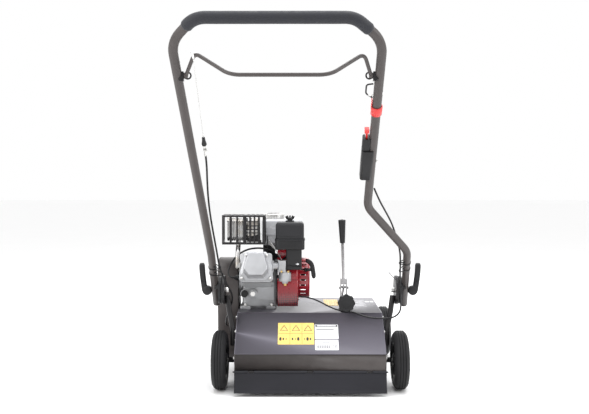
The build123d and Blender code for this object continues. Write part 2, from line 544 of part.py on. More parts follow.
# ---------------------------------------------------------------- handle
def on_handle(x, z):
    """Point of the inclined handle plane, from its X and its height."""
    return (x, PIVOT_Y - (z - PIVOT_Z) / tan(radians(HANDLE_ANGLE)), z)


LEFT_LOW, LEFT_BEND, LEFT_CORNER = (-331, 290), (-329.5, 480), (-365, 1075)
TOP_LEFT, TOP_RIGHT = (-300, 1126.5), (98, 1126.5)
RIGHT_CORNER, JOG_TOP, JOG_LOW, RIGHT_LOW = (173, 1078), (173, 643), (319, 491), (335, 287)
HANDLE_LINE = [LEFT_LOW, LEFT_BEND, LEFT_CORNER, TOP_LEFT, TOP_RIGHT,
               RIGHT_CORNER, JOG_TOP, JOG_LOW, RIGHT_LOW]
HANDLE_BENDS = [400, 95, 60, 60, 95, 90, 90]
ALONG_HANDLE = Vector(0, -cos(radians(HANDLE_ANGLE)), sin(radians(HANDLE_ANGLE)))
HANDLE_UP = Vector(0, sin(radians(HANDLE_ANGLE)), cos(radians(HANDLE_ANGLE)))


def handle_frame(x, z, offset=0.0):
    """Plane whose z axis runs up the handle and whose x axis is the object's X."""
    return Plane(origin=Vector(*on_handle(x, z)) + HANDLE_UP * offset, x_dir=(1, 0, 0), z_dir=ALONG_HANDLE)


THROTTLE_X, THROTTLE_Z = 173.0, 782.0
THROTTLE_FRAME = handle_frame(THROTTLE_X, THROTTLE_Z)
THROTTLE_PIVOT = 78.0              # up the handle from the clamp bolt


def make_handle():
    points = [on_handle(x, z) for x, z in HANDLE_LINE]
    tube = along(points, HANDLE_BENDS, TUBE_R, TUBE_R - TUBE_WALL)
    for side in (-1, 1):
        tube -= rod_x(5.1, side * 300, side * 360, PIVOT_Y, PIVOT_Z)
    tube -= THROTTLE_FRAME * Rot(0, 90, 0) * Cylinder(3.1, 60)
    save("handle_tube", tube)
    ends = [Vector(*LEFT_CORNER) * 0.38 + Vector(*TOP_LEFT) * 0.62,
            Vector(*TOP_RIGHT) * 0.46 + Vector(*RIGHT_CORNER) * 0.54]
    sleeve_line = [on_handle(ends[0].X, ends[0].Y), on_handle(*TOP_LEFT), on_handle(*TOP_RIGHT),
                   on_handle(ends[1].X, ends[1].Y)]
    save("foam_grip", along(sleeve_line, [60, 60], 16.2, TUBE_R + 0.05))
    struts, discs = [], []
    for side in (-1, 1):
        plate = rod_x(DISC_R, side * 296, side * 305, PIVOT_Y, PIVOT_Z)
        for i in range(TEETH):
            tooth = block(sorted((side * 305, side * 306.6)), (-1.6, 1.6), (38, 49))
            plate += Pos(0, PIVOT_Y, PIVOT_Z) * Rot(i * 360 / TEETH, 0, 0) * tooth
        plate -= rod_x(5.1, side * 290, side * 310, PIVOT_Y, PIVOT_Z)
        foot = [(side * 288.5, PIVOT_Y, PIVOT_Z - 20), (side * 281, PIVOT_Y, 268),
                (side * 268.5, PIVOT_Y, 205), (side * 268.5, PIVOT_Y, 150)]
        leg = along(foot, [60, 45], 9.5)
        bolt = rod_x(5, side * 288, side * 352, PIVOT_Y, PIVOT_Z)
        nut = hex_x(17, *sorted((side * 284, side * 295.9)), PIVOT_Y, PIVOT_Z)
        leg -= rod_x(12, side * 278, side * 304, PIVOT_Y, PIVOT_Z)
        leg -= block(sorted((side * 296, side * 320)), (-260, -140), (240, 400))
        foot_bolts = [rod_x(7, side * (DECK_HALF + 0.05), side * 268, PIVOT_Y, z) - leg for z in (168, 198)]
        struts += [plate, leg, bolt + nut, *[b.solids()[0] for b in foot_bolts]]
        mate = rod_x(DISC_R - 2, side * 308, side * 317.5, PIVOT_Y, PIVOT_Z)
        for i in range(TEETH):
            tooth = block(sorted((side * 307, side * 308)), (-1.6, 1.6), (36, 47))
            mate += Pos(0, PIVOT_Y, PIVOT_Z) * Rot((i + 0.5) * 360 / TEETH, 0, 0) * tooth
        saddle_y, saddle_z = (PIVOT_Y - 34, PIVOT_Y - 12), (PIVOT_Z + 6, PIVOT_Z + 34)
        mate += block(sorted((side * 308, side * 330)), saddle_y, saddle_z)
        mate -= rod_x(5.1, side * 300, side * 350, PIVOT_Y, PIVOT_Z)
        discs.append(mate - along(points, HANDLE_BENDS, TUBE_R + 0.05))
    save("handle_struts", *struts)
    save("handle_discs", *[d.solids().sort_by(SortBy.VOLUME)[-1] for d in discs])
    for side, name in ((-1, "left_clamp"), (1, "right_clamp")):
        x0, x1 = sorted((side * (PIVOT_X + TUBE_R + 1.5), side * (PIVOT_X + 26)))
        hub = rod_x(13, x0, x1, PIVOT_Y, PIVOT_Z)
        arm = [(side * 356, PIVOT_Y, PIVOT_Z - 8), (side * 374, PIVOT_Y, PIVOT_Z - 10),
               (side * 387, PIVOT_Y, PIVOT_Z + 12), (side * 384, PIVOT_Y - 4, PIVOT_Z + 86)]
        lever = along(arm, [10, 24], 6.5) + Pos(*arm[-1]) * Sphere(8.5)
        lever = hub + lever - rod_x(5.1, side * 300, side * 353, PIVOT_Y, PIVOT_Z)
        save(name, lever)


BAIL_BAR_Y, BAIL_BAR_Z = -1020.0, 982.0
BAIL_LINE = [(-338, BAIL_Y, BAIL_Z), (-307, -930, 1050), (-210, BAIL_BAR_Y, BAIL_BAR_Z),
             (36, BAIL_BAR_Y, BAIL_BAR_Z), (127, -930, 1048), (150, BAIL_Y, BAIL_Z)]


def make_bail():
    ends = [BAIL_LINE[0], BAIL_LINE[-1]]
    bar = along(BAIL_LINE, [35, 58, 58, 35], BAIL_R)
    for x, y, z in ends:
        bar += rod_x(8, x - 5, x + 5, y, z)
        bar -= rod_x(4 + RUN, x - 6, x + 6, y, z)
    save("bail", bar.solids().sort_by(SortBy.VOLUME)[-1])
    brackets = []
    tube = along([on_handle(x, z) for x, z in HANDLE_LINE], HANDLE_BENDS, TUBE_R + 0.05)
    for (x, y, z), side in ((ends[0], -1), (ends[1], 1)):
        face = x + side * 5.5
        lug = block(sorted((face, face + side * 12)), (y - 9, y + 9), (z - 14, z + 10))
        pin = rod_x(4, face, x - side * 4, y, z)
        brackets.append((lug + pin - tube).solids().sort_by(SortBy.VOLUME)[-1])
    loop = [on_handle(158.5, 981), on_handle(140, 979), on_handle(140, 958), on_handle(158.5, 948)]
    brackets.append(along(loop, [8, 12], 2.2) - tube)
    save("bail_brackets", *brackets)


def make_clutch_cable():
    """Inner wire, bracket, adjuster and outer cable on the left tube."""
    clevis = Vector(-311, -934, 1043)
    entry = Vector(-313, -693, 847)
    run = (entry - clevis).normalized()
    length = (entry - clevis).length
    wire = Plane(origin=clevis, z_dir=run) * Pos(0, 0, length / 2) * Cylinder(1.1, length)
    save("clutch_wire", wire)
    guide = Plane(origin=entry, z_dir=run)
    boot = guide * (Pos(0, 0, 15) * Cone(4.2, 7.5, 30) - Pos(0, 0, 15) * Cylinder(1.2, 32))
    nut = guide * (Pos(0, 0, 30) * extrude(RegularPolygon(8, 6), 7) - Pos(0, 0, 33) * Cylinder(4, 12))
    screw = guide * (Pos(0, 0, 52) * Cylinder(4, 44))
    plate = guide * (Pos(-13, 0, 47) * Box(44, 20, 3) - Pos(0, 0, 47) * Cylinder(4.05, 6))
    plate -= along([on_handle(x, z) for x, z in HANDLE_LINE], HANDLE_BENDS, TUBE_R + 0.1)
    end = entry + run * 74
    save("cable_fittings", boot, nut, screw, plate.solids().sort_by(SortBy.VOLUME)[-1])
    route = [tuple(end), tuple(end + run * 45), (-318, -553, 720), (-321, -497, 664), (-320, -438, 603),
             (-316, -380, 543), (-311, -330, 484), (-306, -285, 424), (-288, -250, 374), (-266, -216, 326),
             (-280, -176, 276), (-299, -138, 232), (-301, -104, 205), (-300, -72.6, 198)]
    save("clutch_cable", cord(route, CLUTCH_CABLE_R, "clutch_cable"))


def make_throttle():
    """Housing clamped to the right tube, red lever, red band and the outer cable down to the engine."""
    bore = Cylinder(TUBE_R + 0.06, 400)
    lower = Pos(-14.5, 0, -64) * extrude(RectangleRounded(35, 34, 8), 113)
    upper = Pos(-20, 0, 49) * extrude(RectangleRounded(24, 24, 6), 44)
    slot = Pos(-21, 4, 84) * Box(6.4, 30, 42)
    shell = lower + upper - slot - bore
    shell -= Rot(0, 90, 0) * Cylinder(3.1, 100)
    shell = shell.solids().sort_by(SortBy.VOLUME)[-1]
    bolt = Rot(0, 90, 0) * (Pos(0, 0, -10) * Cylinder(3, 46)) + Pos(13.2, 0, 0) * Rot(0, 90, 0) * extrude(
        RegularPolygon(5, 6), 4)
    pin = Pos(-21, 0, THROTTLE_PIVOT) * Rot(0, 90, 0) * Cylinder(2.5, 12)
    save("throttle_housing", THROTTLE_FRAME * (shell + pin), THROTTLE_FRAME * bolt)
    lever = Pos(-21, 0, THROTTLE_PIVOT) * (Rot(0, 90, 0) * Cylinder(7, 5.6) + Pos(0, 0, 18) * Box(5.6, 8, 36))
    lever += Pos(-21, 3, THROTTLE_PIVOT + 38) * Box(13, 16, 12)
    lever -= Pos(-21, 0, THROTTLE_PIVOT) * Rot(0, 90, 0) * Cylinder(2.5 + RUN, 20)
    save("throttle_lever", THROTTLE_FRAME * lever)
    clip = handle_frame(173, 918)
    band = Cylinder(16, 28) - Cylinder(TUBE_R + 0.06, 40)
    strip = Pos(-15, 0, 22) * Box(3, 10, 30) - Cylinder(TUBE_R + 0.06, 80)
    save("red_clip", clip * (band + strip))
    route = [(188.9, -561, 700), (208, -520, 664), (232, -475, 629), (256, -426, 593), (272, -390, 559),
             (286, -359, 523), (297, -334, 488), (301, -311, 449), (303, -288, 411), (306, -268, 366),
             (309, -263, 318), (311, -250, 277), (290, -234, 252), (245, -218, 246), (196, -194, 247.5),
             (160, -165, 259), (128, -156.5, 262.5),
             (96, -146, 265.5), (66, -126, 276), (34, -108, 291), (0, -98, 303), (-38, -94, 308)]
    save("throttle_cable", cord(route, THROTTLE_CABLE_R, "throttle_cable"))


def make_ties():
    """Bands that hold the outer cables to the tubes."""
    spots = [(-330, 434, "clutch_cable", CLUTCH_CABLE_R), (-330.4, 412, "clutch_cable", CLUTCH_CABLE_R),
             (322, 452, "throttle_cable", THROTTLE_CABLE_R), (323.7, 430, "throttle_cable", THROTTLE_CABLE_R)]
    ties = []
    for x, z, name, r in spots:
        frame = handle_frame(x, z)
        samples = [frame.to_local_coords(ROUTES[name] @ (i / 500)) for i in range(501)]
        cable = min(samples, key=lambda p: abs(p.Z))
        spot = (cable.X, cable.Y)
        outer = loop_face(TUBE_R + 1.7, (0, 0), r + 2.2, spot)
        inner = loop_face(TUBE_R + 0.3, (0, 0), r + 0.9, spot)
        ties.append(frame * (Pos(0, 0, -2) * (extrude(outer, 4) - extrude(inner, 4))))
    save("cable_ties", *ties)


make_deck()
make_flap()
make_rotor()
make_belt_drive()
make_running_gear()
make_depth_control()
make_crankcase()
make_head()
make_blower()
make_exhaust()
make_fuel_system()
make_handle()
make_bail()
make_clutch_cable()
make_throttle()
make_ties()
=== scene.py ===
from math import cos, pi, radians, sin, tan

import bmesh
import bpy
from mathutils import Matrix, Vector, noise


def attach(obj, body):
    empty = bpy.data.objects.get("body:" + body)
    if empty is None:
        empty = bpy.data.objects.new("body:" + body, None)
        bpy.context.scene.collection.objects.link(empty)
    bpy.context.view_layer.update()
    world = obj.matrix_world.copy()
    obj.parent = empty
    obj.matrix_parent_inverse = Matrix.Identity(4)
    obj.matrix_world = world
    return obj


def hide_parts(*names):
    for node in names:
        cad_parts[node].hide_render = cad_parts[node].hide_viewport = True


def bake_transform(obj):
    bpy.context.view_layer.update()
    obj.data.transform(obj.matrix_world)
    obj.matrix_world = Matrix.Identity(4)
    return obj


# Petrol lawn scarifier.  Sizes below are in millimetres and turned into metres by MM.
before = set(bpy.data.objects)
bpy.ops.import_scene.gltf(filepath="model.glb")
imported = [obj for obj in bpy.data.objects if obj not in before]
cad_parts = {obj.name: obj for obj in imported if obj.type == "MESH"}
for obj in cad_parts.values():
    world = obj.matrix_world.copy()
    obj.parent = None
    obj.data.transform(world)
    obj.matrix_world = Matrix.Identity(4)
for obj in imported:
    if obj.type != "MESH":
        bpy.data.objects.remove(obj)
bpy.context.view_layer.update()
MM = 0.001

DECK_HALF, DECK_TOP, LIP_TOP = 257.5, 257.0, 140.0
DECK_REAR, SLOPE_TOP_Y = -300.0, -156.0
WHEEL_R, WHEEL_IN, WHEEL_OUT = 101.5, 288.0, 338.0
REAR_Y, FRONT_Y = -212.0, 341.0
CRANK_Y, CRANK_Z, ENGINE_FOOT = 5.0, 363.0, 268
PIVOT = Vector((332.0, -200.0, 345.0))
HANDLE_ANGLE = 44.5
TUBE_R = 12.7
AIR_X, AIR_Y, AIR_SEAM = (-123.0, -18.0), (-150.0, -42.0), 517.0
TANK_X, TANK_Y, TANK_SEAM = (-178.0, -24.0), (-6.0, 150.0), 524
ROOT_3 = 1.732


def on_handle(x, z):
    """Point of the inclined handle plane, from its X and its height, in millimetres."""
    return Vector((x, PIVOT.y - (z - PIVOT.z) / tan(radians(HANDLE_ANGLE)), z))


def plane(origin, z_axis, x_axis=(1, 0, 0)):
    """Local axes with their origin in millimetres, Z along z_axis and X as near x_axis as can be."""
    z = Vector(z_axis).normalized()
    x = (Vector(x_axis) - z * z.dot(Vector(x_axis))).normalized()
    y = z.cross(x)
    turn = Matrix((x, y, z)).transposed().to_4x4()
    return Matrix.Translation(Vector(origin)) @ turn


SLOPE = plane((0, DECK_REAR, LIP_TOP), (0, LIP_TOP - DECK_TOP, SLOPE_TOP_Y - DECK_REAR))


# ---------------------------------------------------------------- materials
class Shader:
    """A material with short ways to add and wire its nodes."""

    def __init__(self, name):
        self.mat = bpy.data.materials.new(name)
        self.mat.use_nodes = True
        self.tree = self.mat.node_tree
        self.out = self.tree.nodes["Principled BSDF"]

    def put(self, node, socket, value):
        """Wires an output to a socket, or sets the socket's plain value."""
        if isinstance(value, bpy.types.NodeSocket):
            self.tree.links.new(value, node.inputs[socket])
        else:
            node.inputs[socket].default_value = value

    def add(self, kind, inputs=None, **props):
        """Adds a node with its inputs and properties."""
        node = self.tree.nodes.new("ShaderNode" + kind)
        for key, value in props.items():
            setattr(node, key, value)
        for key, value in (inputs or {}).items():
            self.put(node, key, value)
        return node

    def ramp(self, value, *stops):
        """Colour from a value, through stops of (place, colour)."""
        node = self.add("ValToRGB", {0: value})
        points = node.color_ramp.elements
        while len(points) < len(stops):
            points.new(0.5)
        for point, (place, colour) in zip(points, stops):
            point.position = place
            point.color = (*colour, 1)
        return node.outputs["Color"]

    def noise(self, scale, detail=3.0, stretch=(1, 1, 1), rough=0.5):
        """Cloudy value that stays with the object."""
        coords = self.add("TexCoord").outputs["Object"]
        placed = self.add("Mapping", {"Vector": coords, "Scale": stretch}).outputs[0]
        inputs = {"Vector": placed, "Scale": scale, "Detail": detail, "Roughness": rough}
        return self.add("TexNoise", inputs).outputs["Fac"]

    def span(self, value, low, high):
        """Moves a cloudy value into the span from low to high."""
        return self.add("MapRange", {"Value": value, "From Min": 0.3, "From Max": 0.7,
                                     "To Min": low, "To Max": high}).outputs[0]

    def bump(self, height, strength, distance, under=None):
        """Normal that follows a height; under is a bump that lies below this one."""
        inputs = {"Height": height, "Strength": strength, "Distance": distance}
        if under:
            inputs["Normal"] = under
        return self.add("Bump", inputs).outputs[0]

    def mix(self, share, a, b):
        """Colour between a and b."""
        node = self.add("Mix", data_type="RGBA")
        for socket, value in ((0, share), (6, a), (7, b)):
            if isinstance(value, bpy.types.NodeSocket):
                self.tree.links.new(value, node.inputs[socket])
            else:
                node.inputs[socket].default_value = value if socket == 0 else (*value, 1)
        return node.outputs[2]


def surface(name, colour, rough, metal=0.0, spread=0.12, cloud=35, grain=900, bump=0.15, depth=0.0002,
            rough_spread=0.05, coat=0.0, stretch=(1, 1, 1), specular=0.5, mark=None):
    """Cloudy tone, uneven gloss and a fine grain; mark is a second colour in small flecks."""
    s = Shader(name)
    tone = s.noise(cloud, 4, stretch)
    dark = [c * (1 - spread) for c in colour]
    light = [min(1, c * (1 + spread)) for c in colour]
    base = s.ramp(tone, (0.3, dark), (0.7, light))
    fine = s.noise(grain, 2, stretch)
    if mark:
        flecks = s.ramp(s.noise(cloud * 9, 5, stretch, 0.7), (0.60, (0, 0, 0)), (0.72, (1, 1, 1)))
        base = s.mix(flecks, base, mark)
    s.put(s.out, "Base Color", base)
    s.put(s.out, "Roughness", s.span(tone, max(0.02, rough - rough_spread), rough + rough_spread))
    s.put(s.out, "Metallic", metal)
    s.put(s.out, "Specular IOR Level", specular)
    s.put(s.out, "Coat Weight", coat)
    s.put(s.out, "Coat Roughness", 0.12)
    s.put(s.out, "Normal", s.bump(fine, bump, depth))
    return s.mat


def printed_red():
    """Gloss red with a checkered print that darkens towards the foot of the cover."""
    s = Shader("red_cover")
    coords = s.add("TexCoord").outputs["Object"]
    axes = s.add("SeparateXYZ", {"Vector": coords})
    turned = s.add("Mapping", {"Vector": coords, "Rotation": (0, radians(45), 0)}).outputs[0]
    check = s.add("TexChecker", {"Vector": turned, "Scale": 210.0, "Color1": (0, 0, 0, 1),
                                 "Color2": (1, 1, 1, 1)})
    height = s.add("MapRange", {"Value": axes.outputs["Z"], "From Min": 0.274, "From Max": 0.352,
                                "To Min": 1.0, "To Max": 0.0}).outputs[0]
    side = s.add("MapRange", {"Value": axes.outputs["Y"], "From Min": -0.092, "From Max": -0.096}).outputs[0]
    both = s.add("Math", {0: height, 1: check.outputs["Color"]}, operation="MULTIPLY").outputs[0]
    lift = s.add("Math", {0: both, 1: height}, operation="ADD").outputs[0]
    share = s.add("Math", {0: lift, 1: side}, operation="MULTIPLY").outputs[0]
    tone = s.ramp(s.noise(30, 3), (0.3, (0.27, 0.002, 0.010)), (0.7, (0.34, 0.003, 0.014)))
    shade = s.add("Math", {0: share, 1: 0.62}, operation="MULTIPLY").outputs[0]
    s.put(s.out, "Base Color", s.mix(shade, tone, (0.012, 0.002, 0.004)))
    s.put(s.out, "Roughness", s.span(s.noise(60, 3), 0.24, 0.34))
    s.put(s.out, "Coat Weight", 0.6)
    s.put(s.out, "Coat Roughness", 0.1)
    s.put(s.out, "Normal", s.bump(s.noise(260, 2), 0.12, 0.0004))
    return s.mat


def foam_rubber():
    """Soft black foam with small cells and a wavy surface."""
    s = Shader("foam")
    coords = s.add("TexCoord").outputs["Object"]
    cells = s.add("TexVoronoi", {"Vector": coords, "Scale": 900.0}).outputs["Distance"]
    waves = s.noise(120, 4)
    s.put(s.out, "Base Color", s.ramp(waves, (0.3, (0.008, 0.009, 0.013)), (0.7, (0.015, 0.016, 0.023))))
    s.put(s.out, "Roughness", s.span(waves, 0.62, 0.8))
    s.put(s.out, "Sheen Weight", 0.12)
    s.put(s.out, "Sheen Roughness", 0.5)
    pores = s.bump(cells, 0.35, 0.0004)
    s.put(s.out, "Normal", s.bump(waves, 0.3, 0.0008, pores))
    return s.mat


def exhaust_steel():
    """Bright aluminised sheet with straw and blue heat tints in cloudy patches."""
    s = Shader("muffler_steel")
    patches = s.noise(28, 5)
    tone = s.ramp(patches, (0.25, (0.36, 0.36, 0.36)), (0.5, (0.46, 0.455, 0.45)),
                  (0.62, (0.38, 0.35, 0.31)), (0.75, (0.24, 0.25, 0.28)))
    s.put(s.out, "Base Color", tone)
    s.put(s.out, "Metallic", 1.0)
    s.put(s.out, "Roughness", s.span(s.noise(90, 4), 0.2, 0.42))
    s.put(s.out, "Normal", s.bump(s.noise(140, 4), 0.3, 0.0006))
    return s.mat


# Finishes of the pieces; most are named after the record's material slots.
M = {
    # Deck paint and deck top: lighter and bluer than the deck's real dark grey paint, with the cool overhead
    # light's reflection painted into the colour.
    "deck_paint": surface("deck_paint", (0.125, 0.118, 0.143), 0.5, grain=700, bump=0.08, spread=0.04,
                          cloud=6, specular=0.35),
    "deck_top_painted_reflection": surface("deck_top_painted_reflection", (0.125, 0.118, 0.143), 0.32, grain=700, bump=0.08, spread=0.04,
                        cloud=6, coat=0.25),
    "handle_paint": surface("handle_paint", (0.062, 0.054, 0.052), 0.42, grain=1100, bump=0.18,
                            spread=0.07, specular=0.35),
    "black_steel": surface("black_steel", (0.012, 0.011, 0.012), 0.38, grain=1000, bump=0.2, spread=0.15,
                           specular=0.3),
    "flap_rubber": surface("flap_rubber", (0.011, 0.011, 0.015), 0.5, grain=500, bump=0.3, spread=0.2,
                           cloud=12, stretch=(0.4, 1, 1), specular=0.3),
    "foam": foam_rubber(),
    "tyre": surface("tyre", (0.012, 0.012, 0.013), 0.62, grain=800, bump=0.35, spread=0.2,
                    mark=(0.022, 0.021, 0.02), specular=0.25),
    "rim": surface("rim", (0.014, 0.014, 0.015), 0.42, grain=1500, bump=0.25, specular=0.3),
    "cast_alloy": surface("cast_alloy", (0.38, 0.385, 0.395), 0.46, metal=0.55, grain=420, bump=0.45,
                          depth=0.0004, spread=0.10, cloud=45, rough_spread=0.08),
    "smooth_alloy": surface("smooth_alloy", (0.44, 0.445, 0.46), 0.36, metal=0.6, grain=600, bump=0.18,
                            spread=0.05),
    "red_cover": printed_red(),
    "red_paint": surface("red_paint", (0.30, 0.002, 0.012), 0.28, coat=0.6, grain=260, bump=0.12,
                         depth=0.0004, spread=0.08),
    "tank_white": surface("tank_white", (0.52, 0.525, 0.545), 0.26, coat=0.4, grain=200, bump=0.06,
                          depth=0.0004, spread=0.04, metal=0.15),
    "bright_steel": surface("bright_steel", (0.66, 0.655, 0.64), 0.3, metal=1.0, grain=700, bump=0.2,
                            spread=0.12, mark=(0.5, 0.47, 0.42)),
    "plain_steel": surface("plain_steel", (0.36, 0.355, 0.36), 0.4, metal=0.9, grain=300, bump=0.3,
                           spread=0.18, stretch=(1, 1, 0.15), mark=(0.24, 0.21, 0.19)),
    "muffler_steel": exhaust_steel(),
    "black_plastic": surface("black_plastic", (0.011, 0.011, 0.012), 0.43, grain=1300, bump=0.3,
                             spread=0.12, specular=0.3),
    "mould_plastic": surface("mould_plastic", (0.015, 0.015, 0.017), 0.5, grain=650, bump=0.5,
                             depth=0.0003, spread=0.1, specular=0.3),
    "red_plastic": surface("red_plastic", (0.58, 0.022, 0.018), 0.33, coat=0.2, grain=500, bump=0.1),
    "cable_black": surface("cable_black", (0.006, 0.006, 0.007), 0.36, grain=900, bump=0.15,
                           stretch=(1, 1, 0.4), specular=0.3),
    "brass": surface("brass", (0.62, 0.42, 0.16), 0.32, metal=1.0, grain=700, bump=0.15),
    "label_yellow": surface("label_yellow", (0.74, 0.50, 0.085), 0.36, coat=0.3, spread=0.03, grain=400,
                            bump=0.05),
    "label_white": surface("label_white", (0.74, 0.74, 0.76), 0.34, coat=0.3, spread=0.03, grain=400,
                           bump=0.05),
    "label_ink": surface("label_ink", (0.035, 0.033, 0.035), 0.4, spread=0.1, grain=400, bump=0.05),
}


# ---------------------------------------------------------------- mesh code
class Piece:
    """Collects mesh parts drawn in millimetres, then makes one object of them."""

    def __init__(self):
        self.bm = bmesh.new()

    def prism(self, points, depth, where=None, at_z=0.0):
        """Closed outline in a local XY plane, raised along its Z."""
        where = where or Matrix.Identity(4)
        low = [self.bm.verts.new(where @ Vector((x, y, at_z))) for x, y in points]
        high = [self.bm.verts.new(where @ Vector((x, y, at_z + depth))) for x, y in points]
        self.bm.faces.new(low[::-1])
        self.bm.faces.new(high)
        count = len(points)
        for i in range(count):
            j = (i + 1) % count
            self.bm.faces.new((low[i], low[j], high[j], high[i]))
        return self

    def loft(self, rings):
        """Skin through rings of the same number of points, with a face at each end."""
        rows = [[self.bm.verts.new(p) for p in ring] for ring in rings]
        count = len(rows[0])
        for a, b in zip(rows, rows[1:]):
            for i in range(count):
                j = (i + 1) % count
                self.bm.faces.new((a[i], a[j], b[j], b[i]))
        self.bm.faces.new(rows[0][::-1])
        self.bm.faces.new(rows[-1])
        return self

    def turned(self, profile, where, count=64, ring=False):
        """Profile of (radius, height) turned round the local Z axis; ring closes it on itself."""
        rings = []
        for i in range(count):
            a = 2 * pi * i / count
            rings.append([self.bm.verts.new(where @ Vector((r * cos(a), r * sin(a), z))) for r, z in profile])
        steps = len(profile) if ring else len(profile) - 1
        for i in range(count):
            a, b = rings[i], rings[(i + 1) % count]
            for k in range(steps):
                m = (k + 1) % len(profile)
                self.bm.faces.new((a[k], b[k], b[m], a[m]))
        if not ring:
            self.bm.faces.new([r[0] for r in rings][::-1])
            self.bm.faces.new([r[-1] for r in rings])
        return self

    def rod(self, start, end, radius, count=24, tip=None):
        """Round bar between two points, its end radius tip if it tapers."""
        start, end = Vector(start), Vector(end)
        axis = end - start
        side = (0, 0, 1) if abs(axis.normalized().z) < 0.9 else (1, 0, 0)
        end_radius = radius if tip is None else tip
        return self.turned([(radius, 0), (end_radius, axis.length)], plane(start, axis, side), count)

    def tube(self, points, radius, count=12, taper=None):
        """Bar along a smooth line through closely spaced points, its section kept from twisting."""
        pts = [Vector(p) for p in points]
        side = Vector((0.13, 0.2, 1)).cross(pts[1] - pts[0]).normalized()
        rings = []
        for i, p in enumerate(pts):
            run = (pts[min(i + 1, len(pts) - 1)] - pts[max(i - 1, 0)]).normalized()
            side = (side - run * side.dot(run)).normalized()
            up = run.cross(side)
            r = radius * (taper(i / (len(pts) - 1)) if taper else 1)
            rings.append([p + (side * cos(2 * pi * k / count) + up * sin(2 * pi * k / count)) * r
                          for k in range(count)])
        return self.loft(rings)

    def bar(self, points, half_w, half_d, count=20, square=3.0, taper=None):
        """Softly squared bar along a line; half_w lies towards X and half_d across it."""
        pts = [Vector(p) for p in points]
        rings = []
        for i, p in enumerate(pts):
            run = (pts[min(i + 1, len(pts) - 1)] - pts[max(i - 1, 0)]).normalized()
            side = (Vector((1, 0, 0)) - run * run.x).normalized() if abs(run.x) < 0.95 else Vector((0, 0, 1))
            up = run.cross(side)
            size = taper(i / (len(pts) - 1)) if taper else 1
            ring = []
            for k in range(count):
                c, d = cos(2 * pi * k / count), sin(2 * pi * k / count)
                reach = (abs(c) ** square + abs(d) ** square) ** (-1 / square) * size
                ring.append(p + side * (half_w * c * reach) + up * (half_d * d * reach))
            rings.append(ring)
        return self.loft(rings)

    def hexagon(self, where, flats, height, at_z=0.0):
        """Six-sided head or nut, from its width across the flats."""
        points = [(flats / ROOT_3 * cos(i * pi / 3), flats / ROOT_3 * sin(i * pi / 3)) for i in range(6)]
        return self.prism(points, height, where, at_z)

    def done(self, name, material, body, slot=None, replaces=(), bevel=0.6, angle=35):
        """Makes one shown piece that rides on a body; slot is not used."""
        bmesh.ops.recalc_face_normals(self.bm, faces=self.bm.faces)
        bmesh.ops.scale(self.bm, vec=(MM, MM, MM), verts=self.bm.verts)
        mesh = bpy.data.meshes.new(name)
        self.bm.to_mesh(mesh)
        self.bm.free()
        piece = bpy.data.objects.new(name, mesh)
        bpy.context.scene.collection.objects.link(piece)
        finish_piece(piece, material, bevel, angle)
        if body:
            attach(piece, body)
        if replaces:
            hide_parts(*replaces)
        return piece


def finish_piece(piece, material, bevel, angle):
    """Gives a piece its material, smooth shading and edges softened by a bevel in millimetres."""
    piece.data.materials.append(M[material])
    for face in piece.data.polygons:
        face.use_smooth = True
    if bevel:
        edge = piece.modifiers.new("edge", "BEVEL")
        edge.width = bevel * MM
        edge.segments = 2
        edge.limit_method = "ANGLE"
        edge.angle_limit = radians(angle)
        edge.harden_normals = True


def smooth_line(points, resolution=10):
    """Points along a NURBS spline that has these control points, in millimetres."""
    curve = bpy.data.curves.new("line", "CURVE")
    curve.dimensions = "3D"
    spline = curve.splines.new("NURBS")
    spline.points.add(len(points) - 1)
    for target, p in zip(spline.points, points):
        target.co = (*p, 1)
    spline.order_u = 3
    spline.use_endpoint_u = True
    spline.resolution_u = resolution
    holder = bpy.data.objects.new("line", curve)
    mesh = bpy.data.meshes.new_from_object(holder)
    line = [v.co.copy() for v in mesh.vertices]
    bpy.data.objects.remove(holder)
    bpy.data.curves.remove(curve)
    bpy.data.meshes.remove(mesh)
    return line


def bent_line(points, radii, step):
    """Points along a bent bar: straight runs joined by arcs of the given radii."""
    pts = [Vector(p) for p in points]
    line = [pts[0]]
    for a, b, c, r in zip(pts, pts[1:], pts[2:], radii):
        u, v = (b - a).normalized(), (c - b).normalized()
        turn = u.angle(v)
        start = b - u * r * tan(turn / 2)
        inward = (v - u * u.dot(v)).normalized()
        count = max(3, int(r * turn / step))
        for i in range(count + 1):
            angle = turn * i / count
            line.append(start + u * (r * sin(angle)) + inward * (r * (1 - cos(angle))))
    return line + [pts[-1]]


def hang(piece, route):
    """Works out points along a route in metres and keeps none of them; piece is not used."""
    line = [p * MM for p in smooth_line(route, resolution=12)]


def soft_ends(reach, low):
    """Taper that rounds both ends of a bar off, from low at the tip over that share of its length."""
    def size(t):
        near = min(t, 1 - t) / reach
        return 1 if near >= 1 else low + (1 - low) * (1 - (1 - near) ** 2) ** 0.5
    return size


def rounded_outline(x0, x1, y0, y1, r, steps=5):
    """Rectangle with corners of radius r, as points."""
    points = []
    corners = ((x1 - r, y1 - r, 0), (x0 + r, y1 - r, 90), (x0 + r, y0 + r, 180), (x1 - r, y0 + r, 270))
    for cx, cy, start in corners:
        for i in range(steps + 1):
            a = radians(start + 90 * i / steps)
            points.append((cx + r * cos(a), cy + r * sin(a)))
    return points


# ---------------------------------------------------------------- camera, floor and lights
CAMERA = Vector((-0.045, -3.0, 0.717))
PITCH, YAW, LENS = 1.71, 0.18, 49.2


